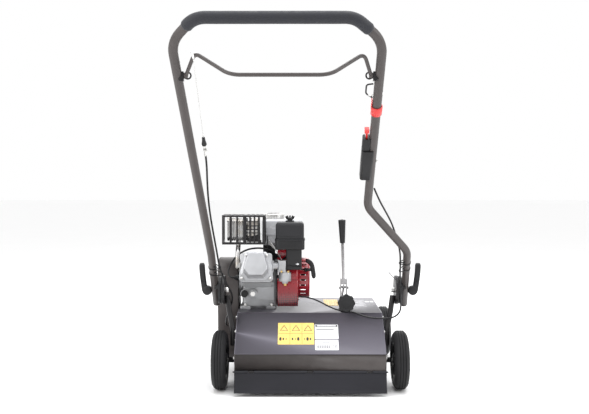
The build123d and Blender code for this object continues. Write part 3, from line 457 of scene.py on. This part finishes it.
def make_stage():
    """The photo's camera, a pale floor, a white world and four soft lamps."""
    camera = bpy.data.objects.new("camera", bpy.data.cameras.new("camera"))
    camera.data.lens = LENS
    camera.location = CAMERA
    camera.rotation_euler = (radians(90 - PITCH), 0, radians(YAW))
    bpy.context.scene.collection.objects.link(camera)
    bpy.context.scene.camera = camera

    bpy.ops.mesh.primitive_plane_add(size=60, location=(0, 0, 0))
    floor = bpy.context.object
    floor.name = "floor"
    s = Shader("floor")
    pale = s.ramp(s.noise(2, 3), (0.3, (0.955, 0.955, 0.955)), (0.7, (0.965, 0.965, 0.965)))
    s.put(s.out, "Base Color", pale)
    s.put(s.out, "Roughness", 0.75)
    s.put(s.out, "Specular IOR Level", 0.2)
    floor.data.materials.append(s.mat)

    world = bpy.data.worlds.new("studio")
    bpy.context.scene.world = world
    bpy.context.scene.view_settings.view_transform = "Standard"
    world.use_nodes = True
    world.node_tree.nodes["Background"].inputs[0].default_value = (1.0, 1.0, 1.0, 1)
    world.node_tree.nodes["Background"].inputs[1].default_value = 1.0

    for name, place, aim, size, power, tint in (
            ("top", (0.1, -0.6, 3.0), (0, -0.1, 0.3), 2.6, 62, (0.97, 0.98, 1.0)),
            ("left", (-2.6, -2.2, 1.9), (0, 0, 0.4), 1.8, 46, (1.0, 0.99, 0.98)),
            ("right", (2.8, -1.4, 1.6), (0, 0, 0.4), 1.6, 30, (1.0, 1.0, 1.0)),
            ("back", (0.4, 2.8, 2.2), (0, 0, 0.4), 2.4, 40, (1.0, 1.0, 1.0))):
        light = bpy.data.lights.new(name, "AREA")
        light.size = size
        light.energy = power
        light.color = tint
        lamp = bpy.data.objects.new(name, light)
        lamp.location = place
        lamp.rotation_euler = (Vector(place) - Vector(aim)).to_track_quat("Z", "Y").to_euler()
        bpy.context.scene.collection.objects.link(lamp)


# ---------------------------------------------------------------- carried-over CAD nodes
FINISH = {
    "deck_paint": ["deck_housing"],
    "black_steel": ["flap_rod", "depth_brackets", "muffler_guard", "engine_brackets", "handle_struts",
                    "front_axle_carrier", "bail_brackets"],
    "flap_rubber": ["drive_belt"],
    "plain_steel": ["rotor_bearings", "rotor_shaft", "rotor_blades", "rotor_pulley", "crankshaft",
                    "engine_pulley", "idler_arm", "lift_link", "height_lever"],
    "bright_steel": ["rear_axle", "engine_bolts", "fuel_cap", "cable_fittings"],
    "muffler_steel": ["muffler"],
    "cast_alloy": ["crankcase", "cylinder_head", "carburetor"],
    "smooth_alloy": ["valve_cover"],
    "red_cover": ["fan_cover"],
    "red_paint": ["recoil_housing"],
    "tank_white": ["fuel_tank"],
    "black_plastic": ["air_cleaner_base", "idler_pulley", "depth_knob", "recoil_reel", "wing_nut",
                      "choke_lever", "oil_dipstick", "handle_discs", "throttle_housing", "starter_rope"],
    "mould_plastic": ["air_cleaner_cover"],
    "handle_paint": ["handle_tube", "bail", "belt_cover"],
    "red_plastic": ["red_clip", "throttle_lever"],
    "cable_black": ["cable_ties", "left_clamp", "right_clamp", "starter_grip", "spark_lead",
                    "clutch_cable", "throttle_cable", "clutch_wire"],
    "foam": ["foam_grip"],
    "tyre": ["rear_left_wheel", "rear_right_wheel", "front_left_wheel", "front_right_wheel"],
}
EDGE = {"deck_housing": 1.2, "belt_cover": 1.0, "valve_cover": 1.4, "crankcase": 1.5, "fuel_tank": 1.0,
        "muffler_guard": 0.5, "handle_tube": 0.0, "clutch_wire": 0.0, "cable_ties": 0.25, "bail": 0.4}


def dress_cad():
    """Real materials and softened edges on every CAD node in FINISH."""
    for material, names in FINISH.items():
        for name in names:
            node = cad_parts[name]
            node.data.materials.clear()
            weld = node.modifiers.new("weld", "WELD")
            weld.merge_threshold = 0.00001
            finish_piece(node, material, EDGE.get(name, 0.6), 32)


def second_finish(node, material, test):
    """Gives part of a CAD node another material: the faces whose middle, in millimetres, passes the test."""
    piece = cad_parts[node]
    piece.data.materials.append(M[material])
    place = len(piece.data.materials) - 1
    for face in piece.data.polygons:
        if test(face.center / MM):
            face.material_index = place


def split_finishes():
    """Second finishes on nodes that stand for pieces of two materials, and painted light on the deck: its
    rear lip keeps the real dark paint, the rest has painted reflection.
    """
    # Rear lip in the real dark paint, beside the lighter, bluer deck paint with its painted reflection.
    second_finish("deck_housing", "handle_paint", lambda p: p.y < DECK_REAR + 1 and p.z < LIP_TOP - 1)
    second_finish("deck_housing", "deck_top_painted_reflection", lambda p: p.z > DECK_TOP - 0.2)
    second_finish("height_lever", "black_plastic", lambda p: p.z > 499)
    second_finish("height_lever", "bright_steel", lambda p: abs(p.x - 124) > 13 and p.z < 360)
    second_finish("handle_struts", "bright_steel",
                  lambda p: abs(p.x) < 295 and p.z > 333 and abs(p.y + 200) < 11)
    second_finish("handle_struts", "bright_steel", lambda p: p.z < 210 and abs(p.x) < 262)
    second_finish("throttle_housing", "bright_steel", lambda p: p.x > 186.5 or p.x < 140.5)
    second_finish("recoil_housing", "black_plastic", lambda p: p.y < -70.5 and abs(p.x + 13) < 7.5)
    second_finish("rear_axle", "black_steel", lambda p: abs(p.x) < 286)
    second_finish("front_axle_carrier", "bright_steel", lambda p: abs(p.x) > 266.5)
    second_finish("belt_cover", "plain_steel", lambda p: p.x > -291 and p.x < -261.5 and abs(p.y - 18) < 8)
    second_finish("depth_knob", "bright_steel", lambda p: p.y > -161)


# ---------------------------------------------------------------- deck, flap and labels
HINGE_Y, HINGE_Z, FOOT_Y, FOOT_Z = -305.4, 80.0, -325.0, 12.6
FLAP_HALF = 257
LABEL_LOW, LABEL_DEPTH = 0.05, 0.35
INK_LOW, INK_DEPTH = 0.42, 0.15
THIRD_TURN = 2.094
ROTOR_Y, ROTOR_Z = 20, 130


def flap_section(x, steps=18):
    """Outline of the rubber flap at one X: its front from the hinge down, then its back."""
    front, back = [], []
    for i in range(steps + 1):
        t = i / steps
        wave = 0.9 * t * sin(x / 52.0) + 0.5 * t * sin(x / 19.0 + 1.0)
        y = HINGE_Y + (FOOT_Y - HINGE_Y) * t + 1.6 * sin(pi * t) + wave * 0.5
        z = HINGE_Z - 3 + (FOOT_Z - HINGE_Z + 3) * t
        bead = 0.9 if t > 0.94 else 0
        groove = 0.6 if 0.83 < t < 0.88 else 0
        front.append((x, y - (1.5 + bead - groove), z))
        back.append((x, y + 1.5, z))
    return front + back[::-1]


def make_flap():
    """Rubber sheet on its sleeves, slightly wavy, with a groove and a thick lower bead."""
    slices = 65
    flap = Piece()
    flap.loft([flap_section(-FLAP_HALF + 2 * FLAP_HALF * k / (slices - 1)) for k in range(slices)])
    for x0, x1 in ((-FLAP_HALF, -210), (-190, -10), (10, 190), (210, FLAP_HALF)):
        flap.rod((x0, HINGE_Y, HINGE_Z), (x1, HINGE_Y, HINGE_Z), 4.6)
    flap.done("flap_sheet", "flap_rubber", "rear_flap", replaces=["rear_flap"], bevel=0.3, angle=50)


def sticker(name, material, spans, where, at_z=LABEL_LOW, depth=LABEL_DEPTH):
    """Thin plates with rounded corners on a local plane, from their spans (x0, x1, y0, y1)."""
    piece = Piece()
    for x0, x1, y0, y1 in spans:
        r = min(2.5, 0.3 * min(x1 - x0, y1 - y0))
        piece.prism(rounded_outline(x0, x1, y0, y1, r, 3), depth, where, at_z)
    piece.done(name, material, "chassis", False, bevel=0.05)


def frame_bars(x0, x1, y0, y1, w):
    """Spans of the four bars, w wide, that frame a rectangle."""
    return [(x0, x1, y0, y0 + w), (x0, x1, y1 - w, y1), (x0, x0 + w, y0, y1), (x1 - w, x1, y0, y1)]


def make_sign_label():
    """Yellow label on the slope: a grid of three by two cells with plain triangles and bars."""
    x0, x1, v0, v1 = -111.0, 14.0, 41.0, 137.5
    cell_w, cell_h = (x1 - x0) / 3, (v1 - v0) / 2
    sticker("label_signs", "label_yellow", [(x0, x1, v0, v1)], SLOPE)
    ink = Piece()

    def print_bar(left, right, low, high, r, steps):
        ink.prism(rounded_outline(left, right, low, high, r, steps), 0.2, SLOPE, INK_LOW)

    for i in range(3):
        for j in range(2):
            cx, cy = x0 + cell_w * (i + 0.5), v0 + cell_h * (j + 0.5)
            if i:
                print_bar(x0 + cell_w * i - 0.4, x0 + cell_w * i + 0.4, v0 + 2, v1 - 2, 0.2, 2)
            if j:
                turns = [2 * pi * k / 3 for k in range(3)]
                corners = [(cx + 15 * sin(a), cy - 3 + 16 * cos(a)) for a in turns]
                for a, b in zip(corners, corners[1:] + corners[:1]):
                    ink.bar([SLOPE @ Vector((*a, 0.5)), SLOPE @ Vector((*b, 0.5))], 0.95, 0.25, 8, 2)
            else:
                for k in range(3):
                    r = (7.5, 5.0, 3.0)[(k + i) % 3]
                    middle = cx - 12 + 10 * k
                    print_bar(middle - r / 2, middle + r / 2, cy - r, cy + r, r / 2.2, 3)
    print_bar(x0 + 2, x1 - 2, v0 + cell_h - 0.4, v0 + cell_h + 0.4, 0.2, 2)
    ink.done("label_signs_ink", "label_ink", "chassis", False, bevel=0)


def make_plate_labels():
    """Two white plates on the slope with plain bars instead of text."""
    plates = [(16.5, 98.0, 64.5, 130.5), (16.5, 97.0, 16.6, 61.0)]
    sticker("label_plates", "label_white", plates, SLOPE)
    bars = [(18.5, 96.0, 119.0, 129.0)]
    for k in range(6):
        bars.append((21, 83 - 9 * (k % 3), 104 - 6.5 * k, 105.6 - 6.5 * k + (2.5 if k == 0 else 0)))
    bars += [(40, 72, 50, 51.5), (44, 66, 46, 47.5)]
    bars += [(22 + 2.6 * k, 22 + 2.6 * k + (1.5 if k % 3 else 0.8), 24, 38) for k in range(18)]
    bars += frame_bars(76, 91, 24, 39, 1.5) + [(80, 82, 27, 36), (85, 87, 27, 36)]
    sticker("label_plates_ink", "label_ink", bars, SLOPE, INK_LOW, INK_DEPTH)
    sticker("label_plates_window", "label_white", [(24, 91, 122, 126)], SLOPE, at_z=0.6, depth=0.1)


def make_deck_labels():
    """Yellow strip of empty frames and white plain bars on the deck's top plate."""
    top = Matrix.Translation((0, 0, DECK_TOP))
    sticker("label_deck_signs", "label_yellow", [(58, 112, 12, 165)], top)
    cells = [(61 + 18 * i, 72 + 18 * i, 18 + 37 * j, 42 + 37 * j) for i in range(3) for j in range(4)]
    marks = [bar for x0, x1, y0, y1 in cells for bar in frame_bars(x0, x1, y0, y1, 1.1)]
    sticker("label_deck_signs_ink", "label_ink", marks, top, INK_LOW, INK_DEPTH)
    white = [(174, 216 - 8 * (k % 2), 128 - 17 * k, 134 - 17 * k) for k in range(9)]
    white += [(218, 234, 92, 122), (237, 250, 92, 122), (176, 188, 60, 100)]
    sticker("deck_prints", "label_white", white, top)


def make_deck_trim():
    """Bolts along the side plates, and the rotor bearing's flange."""
    bolts = Piece()
    for side in (-1, 1):
        for a in range(3):
            turn = a * THIRD_TURN + 0.5
            y, z = ROTOR_Y + 36 * cos(turn), ROTOR_Z + 36 * sin(turn)
            where = plane((side * DECK_HALF, y, z), (side, 0, 0), (0, 1, 0))
            bolts.turned([(8.0, 0), (8.0, 1.4), (5, 1.5)], where, 20).hexagon(where, 10, 6.5)
        for y, z in ((-150, 240), (60, 244), (200, 240), (-270, 120)):
            where = plane((side * DECK_HALF, y, z), (side, 0, 0), (0, 1, 0))
            bolts.turned([(6.5, 0), (6.5, 1.2), (4, 1.3)], where, 20).hexagon(where, 8, 5)
    bolts.done("side_bolts", "bright_steel", "chassis", bevel=0.4)
    flange = Piece().turned([(48, 0), (48, 3), (44, 4), (27, 4), (25, 9), (13, 9)],
                            plane((DECK_HALF, ROTOR_Y, ROTOR_Z), (1, 0, 0), (0, 1, 0)), 48)
    flange.done("bearing_flange", "cast_alloy", "chassis", bevel=0.8)


# ---------------------------------------------------------------- wheels
def make_tyre(name, body, hub):
    """Black tyre with rounded shoulders and three grooves round its tread."""
    half = (WHEEL_OUT - WHEEL_IN) / 2
    crown = []
    for x in (-9, 0, 9):
        crown += [(WHEEL_R, x - 1.4), (WHEEL_R - 3, x - 1.0), (WHEEL_R - 3, x + 1.0), (WHEEL_R, x + 1.4)]
    left = [(61.5, 4 - half), (66, -half + 0.6), (72, -half), (80, -half), (81.2, 0.9 - half),
            (83, -half + 0.2), (88, -half + 1.4), (94, -half + 5), (98.6, -half + 9.6),
            (100.8, -half + 12.2)]
    right = [(r, -z) for r, z in left[::-1]]
    tyre = Piece().turned(left + crown + right, hub, 96, ring=True)
    tyre.done(f"tyre_{name}", "tyre", body, replaces=[f"{name}_wheel"], bevel=0.35, angle=40)


def make_rim(name, body, hub):
    """Black rim with a dished web, ten ribs on each side and a tube for the axle."""
    rim = Piece()
    section = [(61.8, -21), (61.8, 21), (58, 22.5), (55, 21), (54, 6), (24, 4), (22, 24), (14, 26),
               (7.5, 26), (7.5, -26), (14, -26), (22, -24), (24, -4), (54, -6), (55, -21), (58, -22.5)]
    rim.turned(section, hub, 64, ring=True)
    rib = [(20, 0), (56, 0), (56, 13), (38, 10), (20, 20)]
    for i in range(10):
        turn = hub @ Matrix.Rotation(2 * pi * i / 10, 4, "Z")
        for end in (-1, 1):
            stand = turn @ Matrix.Translation((0, 1.6, end * 4.0)) @ Matrix.Rotation(radians(90), 4, "X")
            rim.prism([(x, end * z) for x, z in rib][::end], 3.2, stand)
    rim.done(f"rim_{name}", "rim", body, "black_plastic", replaces=[f"{name}_wheel"], bevel=0.6)


def make_wheel(name, body, side, y):
    """Tyre, rim and axle washer of one wheel; side is -1 at the left."""
    hub = plane((side * (WHEEL_IN + WHEEL_OUT) / 2, y, WHEEL_R), (side, 0, 0), (0, 1, 0))
    make_tyre(name, body, hub)
    make_rim(name, body, hub)
    cap = Piece().turned([(12.5, 26.05), (12.5, 26.9), (7, 27.2)], hub, 32)
    cap.done(f"washer_{name}", "bright_steel", body, bevel=0.3)


# ---------------------------------------------------------------- engine details
def make_tank_details():
    """Seam round the white tank, and the black centre of its cap."""
    tank = Piece()
    ring = rounded_outline(TANK_X[0] - 3, TANK_X[1] + 3, TANK_Y[0] - 3, TANK_Y[1] + 3, 24, 8)
    tank.prism(ring, 2.6, at_z=TANK_SEAM)
    tank.done("tank_seam", "tank_white", "chassis", bevel=0.8)
    cap = Piece()
    middle = Matrix.Translation((-134, 62, 601.0))
    cap.turned([(25, 0.05), (25, 1.0), (22, 1.2)], middle, 48)
    for i in range(6):
        turn = middle @ Matrix.Rotation(pi * i / 3, 4, "Z")
        cap.prism([(6, -1.4), (20, -1.4), (20, 1.4), (6, 1.4)], 1.0, turn, 0.8)
    cap.done("cap_centre", "black_plastic", "fuel_cap", bevel=0.3)


def make_air_cleaner_details():
    """Waist band and raised panel of the air cleaner, and the printed arrow on its snorkel."""
    lid = Piece()
    waist = rounded_outline(AIR_X[0] - 1.6, AIR_X[1] + 1.6, AIR_Y[0] - 1.6, AIR_Y[1] + 1.6, 15, 8)
    lid.prism(waist, 5, at_z=AIR_SEAM - 5)
    back = plane((0, AIR_Y[0] + 2, 0), (0, -1, 0), (1, 0, 0))
    lid.prism(rounded_outline(AIR_X[0] + 14, AIR_X[1] - 14, 527, 567, 7, 6), 2.4, back)
    lid.done("air_cleaner_ridges", "mould_plastic", "chassis", "black_plastic", bevel=1.0)
    mark = Piece()
    sign = plane((-50, -142.05, 428), (0, -1, 0), (1, 0, 0))
    arrow = [(1, 1.5), (6, 1.5), (6, 4.5), (13, 0), (6, -4.5), (6, -1.5), (1, -1.5)]
    mark.prism(arrow[::-1], 0.3, sign)
    mark.done("choke_mark", "label_white", "chassis", False, bevel=0)


def on_plug(x):
    """Point of the spark plug's axis, from its X."""
    return (x, -142, 380)


def make_spark_lead():
    """Lead from the spark plug round the cylinder head, and the boot on the plug."""
    radius = 3.2
    lead = [(-268.1, -142, 380), (-281, -142, 381.5), (-290, -138, 390), (-291, -129, 404),
            (-285, -117, 423), (-272, -105, 444), (-250, -94, 464), (-222, -84, 477), (-188, -76, 481),
            (-156, -72, 477), (-130, -68, 465), (-112, -64, 446)]
    wire = Piece().tube(smooth_line(lead, resolution=12), radius, 14)
    piece = wire.done("spark_lead_wire", "cable_black", "chassis", replaces=["spark_lead"], bevel=0)
    hang(piece, lead)
    boot = Piece()
    boot.rod(on_plug(-254), on_plug(-246.2), 10.5, tip=9.0)
    boot.rod(on_plug(-268), on_plug(-253), 7.2, tip=9)
    for i in range(3):
        boot.rod(on_plug(-266 + 4 * i), on_plug(-264.4 + 4 * i), 8.8)
    boot.done("spark_cap", "cable_black", "chassis", replaces=["spark_lead"], bevel=0.4, angle=45)


def make_fuel_hose():
    """Hose from the tank to the carburettor, its clips, and the carburettor's screws."""
    radius = 4.0
    run = [(-60, -14, 486), (-58, -34, 476), (-64, -58, 462), (-84, -76, 448), (-104, -96, 432),
           (-112, -108, 428)]
    hose = Piece().tube(smooth_line(run, resolution=12), radius, 16)
    hang(hose.done("fuel_hose", "cable_black", "chassis", bevel=0), run)
    brass = Piece()
    for a, b in (((-60.2, -15, 485.6), (-59.8, -20, 483.5)), ((-108, -101, 430.5), (-111, -105, 428.8))):
        brass.rod(a, b, 4.9)
    for x in (-100, -76):
        brass.rod((x, -146, 402), (x, -150, 402), 3.5)
    brass.rod((-88, -125, 358), (-88, -125, 352), 6)
    brass.hexagon(Matrix.Translation((-88, -125, 349)), 10, 5)
    brass.done("hose_clips_and_screws", "brass", "chassis", False, bevel=0.3)


def make_governor():
    """Thin governor rod and the coil spring beside it."""
    bent = [(-153, -34, 512), (-140, -60, 500), (-120, -92, 470), (-104, -116, 452), (-100, -124, 442)]
    rod = Piece().tube(smooth_line(bent), 1.3, 8)
    turns, coil_r, coil = 11, 3.4, []
    for i in range(turns * 12 + 1):
        t = i / (turns * 12)
        a = 2 * pi * turns * t
        coil.append((-153 + 30 * t + coil_r * cos(a), -36 - 20 * t, 500 - 24 * t + coil_r * sin(a)))
    rod.tube(coil, 0.7, 6)
    rod.done("governor_rod_and_spring", "bright_steel", "chassis", bevel=0)


def make_mounting_bolts():
    """Bolts through the engine's foot, and the oil plug in the crankcase."""
    lugs = Piece()
    for x, y in ((-234, -71), (-138, -71), (-234, 99), (-138, 99)):
        lugs.turned([(11, 0), (11, 1.8), (9, 2)], Matrix.Translation((x, y, ENGINE_FOOT)), 24)
        lugs.hexagon(Matrix.Translation((x, y, ENGINE_FOOT + 2)), 13, 7.5)
    lugs.hexagon(plane((-206, -72.2, 313), (0, -1, 0), (1, 0, 0)), 17, 7)
    lugs.done("mounting_bolts", "bright_steel", "chassis", bevel=0.5)


def make_fan_screws():
    """Screws round the fan cover and round the recoil housing."""
    studs = Piece()
    for a in range(4):
        turn = a * pi / 2 + 0.9
        where = plane((-41, CRANK_Y + 92 * cos(turn), CRANK_Z + 92 * sin(turn)), (1, 0, 0), (0, 1, 0))
        studs.turned([(6.5, 0), (6.5, 1.2), (4.5, 1.4)], where, 20).hexagon(where, 8, 5)
    for a in range(3):
        turn = a * THIRD_TURN + 0.3
        where = plane((1.8, CRANK_Y + 67 * cos(turn), CRANK_Z + 67 * sin(turn)), (1, 0, 0), (0, 1, 0))
        studs.hexagon(where, 7, 3, -2.2)
    studs.done("fan_cover_screws", "bright_steel", "chassis", bevel=0.4)


def make_muffler_shade():
    """Five slanted black slats behind the muffler guard's windows, with a three-cornered plate before them;
    the slats are painted shade seen through the windows.
    """
    shade = Piece()
    slats = plane((-229, 0, 0), (1, 0, 0), (0, 1, 0))
    for i in range(5):
        z = 511 + 12.5 * i
        shade.prism([(-117.0, z), (-114.0, z), (-111.0, z + 11.2), (-114.0, z + 11.2)], 52, slats)
    gusset = plane((0, -119, 0), (0, -1, 0), (1, 0, 0))
    shade.prism([(-229, 506), (-176, 506), (-176, 540)], 2.2, gusset)
    shade.done("muffler_shade", "black_steel", "chassis", bevel=0.5)


def make_starter_grip():
    """Curved black grip, with the block that holds its rope."""
    grip = Piece()
    spine = smooth_line([(-14, -88, 437), (4, -88, 432), (13, -88, 406), (16.5, -88, 371)], resolution=8)
    grip.bar(spine, 8.2, 7.4, 20, 2.4, soft_ends(0.10, 0.5))
    grip.bar([(-13, -92, 402), (-13, -80, 402)], 7, 7, 20, 2.2)
    grip.bar([(-12, -88, 402), (9, -88, 403)], 5.5, 5.5, 16, 3)
    grip.done("starter_handle", "black_plastic", "starter_grip", replaces=["starter_grip"], bevel=0)


def make_starter_rope():
    """Taut rope between housing and grip."""
    inside, knot = (-13, -50, 402), (-13, -91, 402)
    line = [Vector(inside).lerp(Vector(knot), i / 40) for i in range(41)]
    rope = Piece().tube(line, 2.0, 12)
    cord = rope.done("starter_rope_run", "cable_black", None, "black_plastic",
                     replaces=["starter_rope"], bevel=0)
    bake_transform(cord)


# ---------------------------------------------------------------- handle
LEFT_LOW, LEFT_BEND, LEFT_CORNER = (-331, 290), (-329.5, 480), (-365, 1075)
TOP_LEFT, TOP_RIGHT, RIGHT_CORNER = (-300, 1126.5), (98, 1126.5), (173, 1078)
RIGHT_LOW, RIGHT_BEND = (335, 287), (319, 491)
CLEVIS, ENTRY = Vector((-311, -934, 1043)), Vector((-313, -693, 847))
RUN = (ENTRY - CLEVIS).normalized()


def make_grip():
    """Foam sleeve over the top of the handle, drawn in a little at its ends and softly uneven."""
    ends = [[a * 0.38 + b * 0.62 for a, b in zip(LEFT_CORNER, TOP_LEFT)],
            [a * 0.46 + b * 0.54 for a, b in zip(TOP_RIGHT, RIGHT_CORNER)]]
    corners = [on_handle(*ends[0]), on_handle(*TOP_LEFT), on_handle(*TOP_RIGHT), on_handle(*ends[1])]
    raw = bent_line(corners, [60, 60], 4)
    line = []
    for a, b in zip(raw, raw[1:]):
        parts = max(1, int((b - a).length / 5))
        line += [a.lerp(b, i / parts) for i in range(parts)]
    line.append(raw[-1])
    grip = Piece().tube(line, 16.1, 32, soft_ends(0.008, 0.86))
    for v in grip.bm.verts:
        v.co += Vector((0, 0, 1)) * 0.18 * noise.noise(v.co / 22)
    piece = grip.done("foam_sleeve", "foam", "handle", replaces=["foam_grip"], bevel=0)


def make_clamp(side):
    """Clamp lever: a round cam head and a squared, bent handle with a raised strip; then its nut."""
    name = "left" if side < 0 else "right"
    lever = Piece()
    shape = ((366, 0, 338), (368, 0, 352), (372, -1, 380), (375, -3, 410), (376, -4, 438))
    arm = [(side * x, PIVOT.y + dy, z) for x, dy, z in shape]
    lever.bar(smooth_line(arm, resolution=6), 9.6, 10.5, 28, 5, soft_ends(0.07, 0.7))
    head = plane((side * 358, PIVOT.y + 11.5, 343), (0, -1, 0), (1, 0, 0))
    lever.turned([(13.5, 0), (16.5, 2.5), (16.5, 20.5), (13.5, 23)], head, 40)
    strip = plane((side * 375, PIVOT.y - 10.2, 372), (0, -1, 0), (1, 0, 0))
    lever.prism(rounded_outline(-5, 5, 0, 50, 3), 1.4, strip)
    lever.done(f"cam_lever_{name}", "black_plastic", f"{name}_clamp", "cable_black",
               replaces=[f"{name}_clamp"], bevel=0)
    nut = Piece()
    where = plane((side * 358, PIVOT.y, PIVOT.z), (side, 0, 0), (0, 1, 0))
    nut.turned([(7, 0), (7, 1.5), (6, 1.6)], where, 24).hexagon(where, 10, 5)
    nut.done(f"clamp_nut_{name}", "bright_steel", f"{name}_clamp", bevel=0.4)


def control_cable(name, route, radius):
    """A cable from the chassis to the handle."""
    cable = Piece().tube(smooth_line(route, resolution=12), radius, 14)
    piece = cable.done(f"{name}_outer", "cable_black", None, "cable_black", replaces=[name], bevel=0)
    hang(piece, route)
    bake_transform(piece)


def make_clutch_cable():
    """Clutch cable: from its adjuster down the left tube to the belt cover."""
    end = ENTRY + RUN * 74
    route = [end, end + RUN * 45, (-318, -553, 720), (-321, -497, 664), (-320, -438, 603),
             (-316, -380, 543), (-311, -330, 484), (-306, -285, 424), (-288, -250, 374),
             (-266, -216, 326), (-280, -176, 276), (-299, -138, 232), (-301, -104, 205), (-300, -72.6, 198)]
    control_cable("clutch_cable", route, 3.0)


def make_throttle_cable():
    """Throttle cable: down the right tube, across the deck past the lever's foot and up to the engine."""
    route = [(188.9, -561, 700), (208, -520, 664), (232, -475, 629), (256, -426, 593), (272, -390, 559),
             (286, -359, 523), (297, -334, 488), (301, -311, 449), (303, -288, 411), (306, -268, 366),
             (309, -263, 318), (311, -250, 277), (290, -234, 252), (245, -218, 246), (196, -194, 247.5),
             (160, -165, 259), (128, -156.5, 262.5), (96, -146, 265.5), (66, -126, 276), (34, -108, 291),
             (0, -98, 303), (-38, -94, 308)]
    control_cable("throttle_cable", route, 2.8)


def make_clutch_wire():
    """Bright wire of three strands, taut between the bail's clevis and the adjuster."""
    wire = Piece()
    length, steps, lay = (ENTRY - CLEVIS).length, 240, 9
    for strand in range(3):
        points = []
        for i in range(steps + 1):
            t = i / steps
            a = 2 * pi * (t * length / lay + strand / 3)
            centre = CLEVIS.lerp(ENTRY, t)
            points.append(centre + Vector((cos(a), 0.63 * sin(a), 0.776 * sin(a))) * 0.5)
        wire.tube(points, 0.6, 6)
    inner = wire.done("clutch_inner_wire", "bright_steel", None, "bright_steel",
                      replaces=["clutch_wire"], bevel=0)
    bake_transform(inner)


def make_cable_anchor():
    """Rubber boot, threaded adjuster with its nuts and plate, and the hook at the wire's upper end."""
    guide = plane(ENTRY, RUN)
    boot = Piece().turned([(2.0, 0), (4.4, 1), (5.2, 14), (7.4, 26), (7.4, 30), (5, 31)], guide, 32)
    boot.done("adjuster_boot", "black_plastic", "handle", "cable_black",
              replaces=["cable_fittings"], bevel=0.3)
    metal = Piece().hexagon(guide, 13, 6, 31.5).hexagon(guide, 11, 5, 40.5).hexagon(guide, 11, 5, 49)
    thread = [(3.2, 30)]
    for i in range(24):
        thread += [(3.9, 31 + 1.7 * i + 0.5), (3.3, 31 + 1.7 * i + 1.4)]
    metal.turned(thread + [(4.4, 72.5), (4.4, 77)], guide, 24)
    metal.prism(rounded_outline(-18, 9, -9, 9, 4), 2.4, guide, 45.8)
    metal.done("cable_adjuster", "bright_steel", "handle", bevel=0.3)
    hook = Piece()
    hook.bar([CLEVIS - RUN * 10, CLEVIS - RUN * 2, CLEVIS + RUN * 9], 3.2, 2.6, 16, 4)
    hook.rod(CLEVIS + Vector((-6, 0, 6)), CLEVIS + Vector((7, 0, 6)), 2.2)
    hook.done("wire_hook", "bright_steel", "bail", bevel=0.3)


def make_tube_plugs():
    """Plastic plugs in the two lower ends of the handle's tube."""
    plugs = Piece()
    for low, bend in ((LEFT_LOW, LEFT_BEND), (RIGHT_LOW, RIGHT_BEND)):
        a, b = on_handle(*low), on_handle(*bend)
        run = (a - b).normalized()
        plugs.rod(a - run * 4, a + run * 2.5, TUBE_R + 0.25, 32, tip=TUBE_R - 1.5)
    plugs.done("tube_plugs", "black_plastic", "handle", bevel=0.5)


def make_cross_bolt():
    """Bolt through the right bail bracket, with two nuts and a washer."""
    bolt = Piece()
    reach = 17
    centre = on_handle(173, 955)
    bolt.rod(centre - Vector((reach + 10, 0, 0)), centre + Vector((reach - 1, 0, 0)), 2.8)
    bolt.hexagon(plane(centre + Vector((reach - 5, 0, 0)), (1, 0, 0), (0, 1, 0)), 9, 4.5)
    bolt.hexagon(plane(centre - Vector((reach + 2, 0, 0)), (-1, 0, 0), (0, 1, 0)), 9, 4.5)
    washer = plane(centre - Vector((reach - 2, 0, 0)), (-1, 0, 0), (0, 1, 0))
    bolt.turned([(6.5, 0), (6.5, 1.2), (3.2, 1.3)], washer, 24)
    bolt.done("cross_bolt", "bright_steel", "handle", bevel=0.3)


def make_bail_eyes():
    """Round wire eyes in which the bail turns."""
    eyes = Piece()
    ring_r, wire_r = 8.6, 2.2
    section = [(ring_r + wire_r * cos(k * pi / 4), wire_r * sin(k * pi / 4)) for k in range(8)]
    for x in (-333.5, 145.5):
        eyes.turned(section, plane((x, -868, 1000), (0, -1, 0), (1, 0, 0)), 32, ring=True)
    eyes.done("bail_eyes", "black_steel", "handle", bevel=0)


def make_tie_tails():
    """Loose ends and heads of the four cable ties."""
    tails = Piece()
    for spine in ([(312, -272, 358), (309, -270, 364), (296, -266, 384), (281, -262, 398), (268, -258, 412)],
                  [(309, -330, 452), (303, -338, 453), (296, -343, 455)],
                  [(-326, -306, 434), (-318, -316, 437), (-312, -320, 436)],
                  [(-326, -282, 411), (-319, -292, 413), (-314, -297, 412)]):
        tails.bar(smooth_line(spine, resolution=6), 1.0, 2.0, 8, 4)
    for x, y, z in ((310, -331, 452), (311, -309, 430), (-321, -308, 434), (-322, -284, 412)):
        tails.bar([(x - 3, y, z), (x + 3, y, z)], 3, 3, 12, 5)
    tails.done("tie_tails", "cable_black", "handle", bevel=0)


make_stage()
dress_cad()
split_finishes()
make_flap()
make_sign_label()
make_plate_labels()
make_deck_labels()
make_deck_trim()
for wheel, place, y in (("rear_left", -1, REAR_Y), ("rear_right", 1, REAR_Y), ("front_left", -1, FRONT_Y),
                        ("front_right", 1, FRONT_Y)):
    make_wheel(wheel, f"{wheel}_wheel", place, y)
make_tank_details()
make_air_cleaner_details()
make_spark_lead()
make_fuel_hose()
make_governor()
make_mounting_bolts()
make_fan_screws()
make_muffler_shade()
make_starter_grip()
make_starter_rope()
make_grip()
for clamp_side in (-1, 1):
    make_clamp(clamp_side)
make_clutch_cable()
make_throttle_cable()
make_clutch_wire()
make_cable_anchor()
make_tube_plugs()
make_cross_bolt()
make_bail_eyes()
make_tie_tails()
